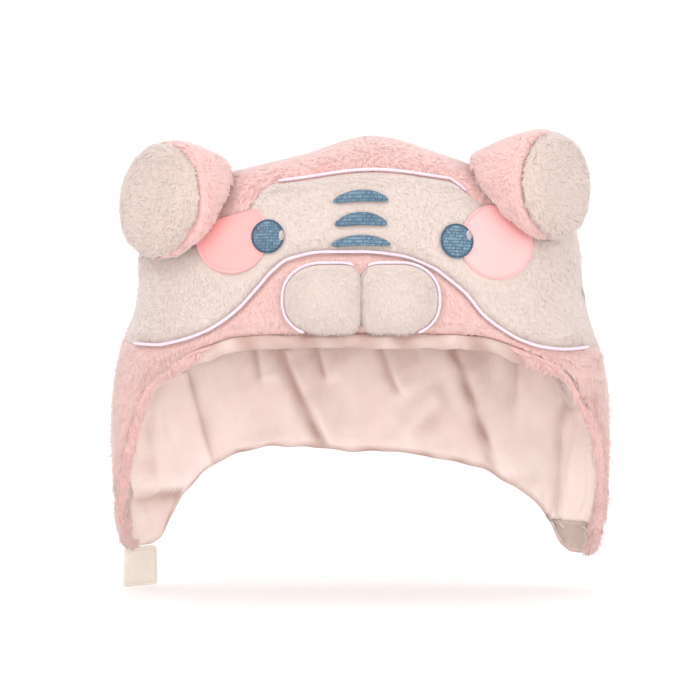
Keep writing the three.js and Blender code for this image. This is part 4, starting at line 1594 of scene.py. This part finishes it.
@dataclass
class StitchedCord:
    """A line of satin stitches or a piping cord along a path, drawn to a point at each end."""

    name: str
    node: str
    finish: Finish
    path: np.ndarray
    radius: float
    pitch: float = 0.0009
    ridge: float = 0.07
    sides: int = 12

    def build(self, workshop: Workshop) -> bpy.types.Object:
        """Sweeps the cord's section along its path."""
        steps = np.linalg.norm(np.diff(self.path, axis=0), axis=1)
        along = np.concatenate([[0], np.cumsum(steps)])
        length = along[-1]
        rows = int(length / self.pitch * 2.2)

        def place(u: np.ndarray, v: np.ndarray) -> np.ndarray:
            s = v * length
            middle, ahead, behind = (
                np.stack([np.interp(s + step, along, self.path[:, k]) for k in range(3)], axis=-1)
                for step in (0, 0.0008, -0.0008)
            )
            way = unit(ahead - behind)
            level = unit(np.cross(way, np.array([0.0, 1.0, 0.0])))
            lift = np.cross(level, way)
            turn = u * 2 * math.pi
            taper = np.sqrt(np.clip(np.minimum(s, length - s) / (self.radius * 1.5), 0, 1))
            rope = 1 + self.ridge * np.sin(2 * math.pi * s / self.pitch + turn)
            radius = (self.radius * taper * rope)[:, None]
            return middle + radius * (np.cos(turn)[:, None] * level + np.sin(turn)[:, None] * lift)

        bm = grid_shell(
            self.sides,
            rows,
            place,
            flat=lambda u, v: np.stack([v * length, u * 0.006], axis=-1),
        )
        nodes = [self.node] if self.node else []
        return workshop.dress(piece_from(bm, self.name), [self.finish], nodes)


@dataclass(frozen=True)
class Stuffing:
    """How an ear's stuffing fills the dimple, closes the ear's seam and stretches it upwards."""

    middle: tuple[float, float, float]
    facing: tuple[float, float, float]
    radius: float
    fill: float
    close: float
    stretch: float

    def filled(self, places: np.ndarray) -> np.ndarray:
        """The points of the ear, moved out in its dimple, together at its seam, and up."""
        facing = np.array(self.facing)
        away = places - np.array(self.middle)
        out = away @ facing
        aside = np.linalg.norm(away - out[:, None] * facing, axis=1) / self.radius
        rise = self.fill * np.exp(-((aside / 0.42) ** 2)) * ease(out, 0.0005, 0.003)
        rise += self.close * ease(out, -0.02, 0.0)
        up = self.stretch * np.clip((away[:, 2] / self.radius + 1) / 2, 0, 1)
        return places + rise[:, None] * facing + up[:, None] * (0, 0, 1)


@dataclass
class PlumpPiece:
    """A stuffed piece that starts from its CAD solid and is puffed out as cloth."""

    name: str
    node: str
    pile: Pile
    stuffing: Stuffing
    voxel: float = 0.003
    inset: float = 0.0012
    smoothing: int = 9
    pressure: float = 4.0
    frames: int = 16
    most: float = 0.0025

    def build(self, workshop: Workshop) -> bpy.types.Object:
        """Remeshes a copy of the solid, draws it in under its pile and puffs it out."""
        bm = bmesh.new()
        bm.from_mesh(bpy.data.objects[self.node].data)
        bmesh.ops.remove_doubles(bm, verts=bm.verts[:], dist=1e-5)
        piece = piece_from(bm, self.name)
        remesh = piece.modifiers.new("even faces", "REMESH")
        remesh.mode = "VOXEL"
        remesh.voxel_size = self.voxel
        remesh.use_smooth_shade = True
        applied(piece)
        bm = bmesh.new()
        bm.from_mesh(piece.data)
        axes = {f"use_axis_{axis}": True for axis in "xyz"}
        for _ in range(self.smoothing):
            bmesh.ops.smooth_vert(bm, verts=bm.verts[:], factor=0.5, **axes)
        bm.normal_update()
        places = np.array([v.co[:] for v in bm.verts])
        normals = np.array([v.normal[:] for v in bm.verts])
        places = places - normals * self.inset
        places = self.stuffing.filled(places)
        for vert, place in zip(bm.verts, places):
            vert.co = place
        for face in bm.faces:
            face.smooth = True
            face.material_index = 0
        bm.to_mesh(piece.data)
        bm.free()
        self.puff(piece)
        rounding = piece.modifiers.new("rounding", "SUBSURF")
        rounding.levels = 1
        applied(piece)
        workshop.dress(piece, [self.pile.finish], [self.node])
        return piece

    def puff(self, piece: bpy.types.Object) -> None:
        """Fills the piece with pressure as cloth, and keeps each point near its place."""
        before = np.array([v.co[:] for v in piece.data.vertices])
        cloth = piece.modifiers.new("stuffing", "CLOTH")
        cloth.settings.use_pressure = True
        cloth.settings.uniform_pressure_force = self.pressure
        cloth.settings.effector_weights.gravity = 0
        cloth.collision_settings.use_collision = False
        cloth.point_cache.frame_end = self.frames
        for frame in range(1, self.frames + 1):
            bpy.context.scene.frame_set(frame)
        applied(piece)
        bpy.context.scene.frame_set(1)
        moved = np.array([v.co[:] for v in piece.data.vertices]) - before
        size = np.linalg.norm(moved, axis=1, keepdims=True)
        moved *= np.minimum(1, self.most / np.maximum(size, 1e-9))
        for vert, place in zip(piece.data.vertices, before + moved):
            vert.co = place


@dataclass
class Studio:
    """The floor, the light and the camera of the photograph."""

    distance: float = 1.2
    field_width: float = 0.35
    face_plane: float = -0.058
    centre: tuple[float, float] = (-0.0055, -0.1029)
    sensor: float = 36.0

    def build(self, low: float) -> None:
        """Makes the studio.

        Args:
            low: the height of the floor, in metres.
        """
        self._floor(low)
        self._lamp("key_light", place=(-0.8, -1.2, 1.0), size=0.8, power=7.4)
        self._lamp("fill_light", place=(1.1, -1.3, 0.2), size=1.0, power=5.6)
        self._lamp("low_light", place=(-0.1, -1.4, -0.25), size=0.8, power=4.0)
        self._lamp("top_light", place=(0.0, 0.3, 1.3), size=1.0, power=3.0)
        world = bpy.data.worlds.new("pale_room")
        bpy.context.scene.world = world
        world.use_nodes = True
        background = world.node_tree.nodes["Background"]
        background.inputs["Color"].default_value = linear(255, 253, 252)
        background.inputs["Strength"].default_value = 1.0
        camera = bpy.data.cameras.new("photo_camera")
        camera.sensor_width = self.sensor
        camera.lens = self.sensor * self.distance / self.field_width
        holder = bpy.data.objects.new("photo_camera", camera)
        bpy.context.scene.collection.objects.link(holder)
        holder.location = (self.centre[0], self.face_plane - self.distance, self.centre[1])
        holder.rotation_euler = (math.pi / 2, 0, 0)
        bpy.context.scene.camera = holder
        bpy.context.scene.view_settings.view_transform = "Standard"

    def _floor(self, low: float) -> None:
        """A pale floor that curves up into a wall behind the object."""

        def place(u: np.ndarray, v: np.ndarray) -> np.ndarray:
            flat, radius = 0.55, 0.8
            turn = np.clip((v - flat) / 0.25, 0, 1) * math.pi / 2
            run = -2.5 + np.minimum(v, flat) / flat * 3.5
            y = run + radius * np.sin(turn)
            z = low + radius * (1 - np.cos(turn)) + np.clip((v - 0.8) / 0.2, 0, 1) * 2
            return np.stack([(u - 0.5) * 6, y, z], axis=-1)

        floor = piece_from(grid_shell(8, 60, place), "studio_floor")
        paint = bpy.data.materials.new("pale studio paper")
        paint.use_nodes = True
        shader = Shader(paint.node_tree)
        surface = paint.node_tree.nodes["Principled BSDF"]
        spot = shader.noise(shader.add("TexCoord").outputs["Object"], 3.0)
        colour = shader.mix(spot, linear(254, 254, 254), linear(252, 252, 252))
        shader.tree.links.new(colour, surface.inputs["Base Color"])
        surface.inputs["Roughness"].default_value = 0.9
        floor.data.materials.append(paint)
        floor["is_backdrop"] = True

    def _lamp(self, name: str, place: tuple[float, float, float], size: float, power: float) -> None:
        """A soft square lamp that faces the cap."""
        light = bpy.data.lights.new(name, "AREA")
        light.shape = "SQUARE"
        light.size = size
        light.energy = power
        lamp = bpy.data.objects.new(name, light)
        bpy.context.scene.collection.objects.link(lamp)
        lamp.location = place
        aim = Vector((0, 0, -0.1)) - Vector(place)
        lamp.rotation_euler = aim.to_track_quat("-Z", "Y").to_euler()


@dataclass(frozen=True)
class Features:
    """Where the eye and the cheek of one side are, and how far up the cheek shows.

    Places are an across and a fall. The glint is offset from the eye's middle, the cheek ends
    under the ear's plush at a height and a slope, and an ear has a place across, a share of
    the crown's height and a turn in degrees.
    """

    eye: tuple[float, float]
    cheek: tuple[float, float]
    glint: tuple[float, float]
    cut: tuple[float, float]
    ear: tuple[float, float, float]
    ear_stretch: float


FEATURES = {
    Side.LEFT: Features(
        eye=(0.382, 0.404),
        cheek=(0.531, 0.398),
        glint=(0.0068, 0.0002),
        cut=(0.0103, 0.24),
        ear=(0.83, 0.8, 38),
        ear_stretch=0.006,
    ),
    Side.RIGHT: Features(
        eye=(0.393, 0.43),
        cheek=(0.558, 0.43),
        glint=(0.0058, 0.0028),
        cut=(0.0175, -0.54),
        ear=(0.805, 0.89, 46),
        ear_stretch=0.003,
    ),
}


@dataclass
class Cap:
    """The whole cap: its panels, lining, trim and ears."""

    workshop: Workshop
    face_side: float = 86.0
    piping_radius: float = 0.0011
    crown_piping_angle: float = 23.5
    crown_piping_right: float = 29.0
    face_piping_angle: float = 68.0
    eye_radius: float = 0.008
    cheek_radius: float = 0.018
    muzzle_size: tuple[float, float] = (0.0193, 0.0176)
    muzzle_fall: float = 0.739
    ear_radius: float = 0.0288
    dimple_fill: float = 0.005

    def height(self, fall: float) -> float:
        """The height of a fall on the face."""
        return self.workshop.shell.dome_top - fall * self.workshop.shell.crown_height

    def build(self) -> None:
        """Builds every piece of the cap."""
        shop = self.workshop
        cords = self.pipings()
        trims = self.stripes()
        for side in Side:
            trims += self.eye(side) + self.cheek(side)
        muzzles = [self.muzzle(side) for side in Side]
        outlines = [self.muzzle_outline(side) for side in Side]
        panels = self.panels()
        ears = self.ears()
        lining = Lining()
        lining.build(shop)
        StrapTab().build(shop)
        FastenerPatch().build(shop, lining)
        ear_pieces = [piece for piece, _ in ears]
        near_face = NearPieces(cords + trims + [piece for piece, _ in muzzles] + outlines)
        for panel, pile in panels:
            front = panel.name in ("face_plush", "muzzle_band_plush", "crown_plush")
            parts = 2 if panel.name == "back_plush" else 1
            pile.grow(shop, panel, near_face if front else None, parts=parts)
        for piece, pile in muzzles:
            pile.grow(shop, piece, NearPieces(outlines), clear=0.001)
        for piece, pile in ears:
            words = ("root", "cup") if "root" in piece.name else ("cup", "root")
            partner = [p for p in ear_pieces if p.name == piece.name.replace(*words)]
            near = NearPieces([panel for panel, _ in panels] + trims + partner, 0.0013)
            pile.grow(shop, piece, near, clear=0.0016)

    def panels(self) -> list[tuple[bpy.types.Object, Pile]]:
        """The four plush panels, with the pile that each gets."""
        shell = self.workshop.shell
        half_gap = shell.gap / 2 / shell.crown_height
        front = (-self.face_side, self.face_side)
        made = []
        crown = PlushPanel(
            name="crown_plush",
            node="crown_panel",
            pile=Pile(PINK_PLUSH, 0.0042, 0.0008, width=0.0008, seed=3, comb=(0.0, 0.5, -1.0)),
            start=-180,
            end=180,
            top=np.zeros_like,
            bottom=lambda a: shell.crown_seam(a) - half_gap,
            columns=120,
            rows=26,
            ring=True,
            pole=True,
        )
        face = PlushPanel(
            name="face_plush",
            node="face_panel",
            pile=Pile(CREAM_PLUSH, 0.0030, 0.00064, tuft=0.2, seed=4, comb=(0.0, 0.4, -1.0)),
            start=front[0],
            end=front[1],
            top=lambda a: shell.crown_seam(a) + half_gap,
            bottom=lambda a: shell.face_seam(a) - 2 * half_gap,
            columns=140,
            rows=36,
            skin=0.86,
        )
        # The muzzle band's pile takes the darker copy of the pink plush, which is painted shade
        band = PlushPanel(
            name="muzzle_band_plush",
            node="muzzle_band",
            pile=Pile(SHADED_BAND_PINK, 0.0036, 0.00072, seed=5, rim=True, comb=(0.0, 0.4, -1.0)),
            start=front[0],
            end=front[1],
            top=lambda a: shell.face_seam(a) + 2 * half_gap,
            bottom=shell.hem_top,
            columns=140,
            rows=30,
        )
        long_pile = Pile(PINK_PLUSH, 0.0046, 0.00088, seed=6, rim=True, comb=(0.0, 0.7, -1.0))
        long_pile.width = 0.0009
        back = PlushPanel(
            name="back_plush",
            node="back_panel",
            pile=long_pile,
            start=front[1],
            end=360 + front[0],
            top=lambda a: shell.crown_seam(a) + half_gap,
            bottom=shell.hem_top,
            columns=130,
            rows=46,
        )
        for panel in (crown, face, band, back):
            made.append((panel.build(self.workshop), panel.pile))
        return made

    def pipings(self) -> list[bpy.types.Object]:
        """The piping over the face and under it."""
        shell = self.workshop.shell
        lift = shell.gap * 1.5 + float(shell.pile_at(np.array(self.piping_radius + shell.gap)))
        lift += self.piping_radius
        sunk = 0.0007
        crown = np.linspace(-self.crown_piping_angle, self.crown_piping_right, 200)
        face = np.linspace(-self.face_piping_angle, self.face_piping_angle, 500)
        paths = {
            "crown_piping": shell.at(crown, shell.crown_seam(crown), lift - sunk),
            "face_piping": shell.at(face, shell.face_seam(face), lift),
        }
        radius = self.piping_radius * 0.75
        return [
            StitchedCord(f"{node}_cord", node, PIPING_THREAD, path, radius).build(self.workshop)
            for node, path in paths.items()
        ]

    def eye(self, side: Side) -> list[bpy.types.Object]:
        """A blue eye of satin stitch with a navy edge and a small pale highlight."""
        shell = self.workshop.shell
        spot = FEATURES[side]
        x, z = side.value * spot.eye[0] * shell.half_width, self.height(spot.eye[1])
        base = shell.trim_base

        def circle(turn: np.ndarray) -> tuple[np.ndarray, np.ndarray]:
            return self.eye_radius * np.sin(turn), -self.eye_radius * np.cos(turn)

        disc = FacePad(
            name=f"eye_{side.label}_stitches",
            node=f"eye_{side.label}",
            finish=BLUE_THREAD,
            x=x,
            z=z,
            outline=circle,
            edge=0.0008,
            rise=0.0015,
            ridge=0.00008,
            rings=36,
        ).build(self.workshop)
        turn = np.linspace(0, 2 * math.pi, 160)
        rim = self.eye_radius - 0.0005
        path = shell.on_face(x + rim * np.sin(turn), z - rim * np.cos(turn), np.full(160, base + 0.0007))
        edge = StitchedCord(f"eye_{side.label}_edge", "", NAVY_THREAD, path, 0.0006, pitch=0.0006)
        across, up = spot.glint

        def glint(turn: np.ndarray) -> tuple[np.ndarray, np.ndarray]:
            return 0.0013 * np.sin(turn), -0.0024 * np.cos(turn)

        shine = FacePad(
            name=f"eye_{side.label}_glint",
            node="",
            finish=TAPE_THREAD if side is Side.LEFT else PIPING_THREAD,
            x=x + across,
            z=z + up,
            outline=glint,
            edge=0.0004,
            rise=0.0009,
            spokes=32,
            rings=8,
            base=base + 0.0009,
        ).build(self.workshop)
        return [disc, edge.build(self.workshop), shine]

    def cheek(self, side: Side) -> list[bpy.types.Object]:
        """A smooth satin cheek patch with a stitched edge."""
        shell = self.workshop.shell
        share, fall = FEATURES[side].cheek
        x, z = side.value * share * shell.half_width, self.height(fall)
        base = shell.trim_base
        rise, slope = FEATURES[side].cut

        def circle(turn: np.ndarray) -> tuple[np.ndarray, np.ndarray]:
            dx = self.cheek_radius * np.sin(turn)
            return dx, np.minimum(-self.cheek_radius * np.cos(turn), rise + slope * dx)

        # The left cheek takes the darker copy of the satin, which is painted shade
        patch = FacePad(
            name=f"cheek_{side.label}_patch",
            node=f"cheek_{side.label}",
            finish=SHADED_SATIN if side is Side.LEFT else SATIN_PATCH,
            x=x,
            z=z,
            outline=circle,
            edge=0.0004,
            rise=0.0011,
            spokes=120,
            rings=24,
            base=base - 0.0004,
        ).build(self.workshop)
        turn = np.linspace(-math.pi, math.pi, 240)
        rim = self.cheek_radius - 0.0009
        dx, dz = rim * np.sin(turn), -rim * np.cos(turn)
        shown = dz < rise + slope * dx
        path = shell.on_face(x + dx[shown], z + dz[shown], np.full(shown.sum(), base + 0.0001))
        edge = StitchedCord(f"cheek_{side.label}_edge", "", SATIN_EDGE, path, 0.0005, pitch=0.0007)
        return [patch, edge.build(self.workshop)]

    def stripes(self) -> list[bpy.types.Object]:
        """Three arched bars of satin stitch on the forehead."""
        rows = ((0.232, 1, 0.9, 0.3), (0.335, 0.96, 1.1, 0.4), (0.438, 1.08, 0.95, 0.34))
        made = []
        for k, (fall, length, height, arch) in enumerate(rows):

            def leaf(
                turn: np.ndarray,
                length: float = length,
                height: float = height,
                arch: float = arch,
            ) -> tuple[np.ndarray, np.ndarray]:
                s, c = np.sin(turn), -np.cos(turn)
                return 0.0135 * length * s, 0.0054 * (height * 0.46 * c - arch * s * s)

            pad = FacePad(
                name=f"stripe_{k + 1}_stitches",
                node=f"stripe_{k + 1}",
                finish=BLUE_THREAD,
                x=0.0,
                z=self.height(fall),
                outline=leaf,
                edge=0.0008,
                rise=0.0015,
                spokes=90,
                rings=14,
            )
            made.append(pad.build(self.workshop))
        return made

    def muzzle_shape(self, side: Side, inset: float) -> Outline:
        """The outline of one half of the muzzle, drawn in by an inset on its outer side."""
        wide, tall = self.muzzle_size
        gap = self.workshop.shell.gap

        def outline(turn: np.ndarray) -> tuple[np.ndarray, np.ndarray]:
            s, c = np.sin(turn), -np.cos(turn)
            outward = s * side.value > 0
            reach = wide - np.where(outward, inset, gap / 2)
            x = np.sign(s) * np.abs(s) ** np.where(outward, 0.95, 0.35) * reach
            z = np.sign(c) * np.abs(c) ** np.where(outward, 0.85, 0.45) * (tall - inset)
            return x, z

        return outline

    def muzzle(self, side: Side) -> tuple[bpy.types.Object, Pile]:
        """One stuffed half of the muzzle, and its pile."""
        pad = FacePad(
            name=f"muzzle_{side.label}_plush",
            node=f"muzzle_{side.label}",
            finish=CREAM_PLUSH,
            x=side.value * self.muzzle_size[0],
            z=self.height(self.muzzle_fall),
            outline=self.muzzle_shape(side, self.piping_radius),
            edge=0.0009,
            rise=0.0072,
            spokes=72,
            rings=20,
            dome=2.6,
        )
        piece = pad.build(self.workshop)
        seed = 20 + side.value
        return piece, Pile(CREAM_PLUSH, 0.0025, 0.00062, width=0.0006, tuft=0.2, seed=seed)

    def muzzle_outline(self, side: Side) -> bpy.types.Object:
        """The thin cord round one half of the muzzle."""
        shell = self.workshop.shell
        turn = np.linspace(0.14 * math.pi, 1.2 * math.pi, 200) * side.value
        dx, dz = self.muzzle_shape(side, 0)(turn)
        x, z = side.value * self.muzzle_size[0] + dx, self.height(self.muzzle_fall) + dz
        path = shell.on_face(x, z, np.full_like(x, shell.trim_base + 0.0005))
        name = f"muzzle_{side.label}_outline"
        cord = StitchedCord(name, f"muzzle_piping_{side.label}", PIPING_THREAD, path, 0.0008)
        return cord.build(self.workshop)

    def ears(self) -> list[tuple[bpy.types.Object, Pile]]:
        """The roots and cups of the ears, with the pile that each gets."""
        made = []
        for side in Side:
            seed = 30 + 2 * side.value
            comb = (side.value * 0.5, 0.7, -0.4)
            # The roots take the lighter copy of the pink plush, which is painted light
            root = Pile(LIT_EAR_PINK, 0.0038, 0.00076, width=0.0008, seed=seed, comb=comb)
            # The cups take the darker copy of the cream plush, which is painted shade
            cup = Pile(SHADED_EAR_CREAM, 0.0036, 0.00076, width=0.0008, seed=seed + 1, comb=comb)
            across, up, turn = FEATURES[side].ear
            shell = self.workshop.shell
            height = shell.brow + up * shell.crown_height
            middle = (side.value * across * shell.half_width, -0.8 * shell.half_depth, height)
            facing = (side.value * math.sin(math.radians(turn)), -math.cos(math.radians(turn)), 0.0)
            stretch = FEATURES[side].ear_stretch
            even = Stuffing(middle, facing, self.ear_radius, 0.0, 0.0012, stretch)
            dimpled = Stuffing(middle, facing, self.ear_radius, self.dimple_fill, -0.0014, stretch)
            rows = (
                PlumpPiece(f"ear_root_{side.label}_plush", f"ear_back_{side.label}", root, even),
                PlumpPiece(f"ear_cup_{side.label}_plush", f"ear_cup_{side.label}", cup, dimpled),
            )
            made += [(row.build(self.workshop), row.pile) for row in rows]
        return made


def main() -> None:
    """Builds the cap and its studio round the frame."""
    logging.basicConfig(level=logging.INFO, format="%(message)s")
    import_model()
    cad_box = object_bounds()
    workshop = Workshop(SeamSurface(), Effects())
    Cap(workshop).build()
    Studio().build(float(cad_box[0][2]) - 0.001)
    LOG.info("triangles added: %d", sum(triangles(piece) for piece in workshop.made))


if __name__ == "__main__":
    main()
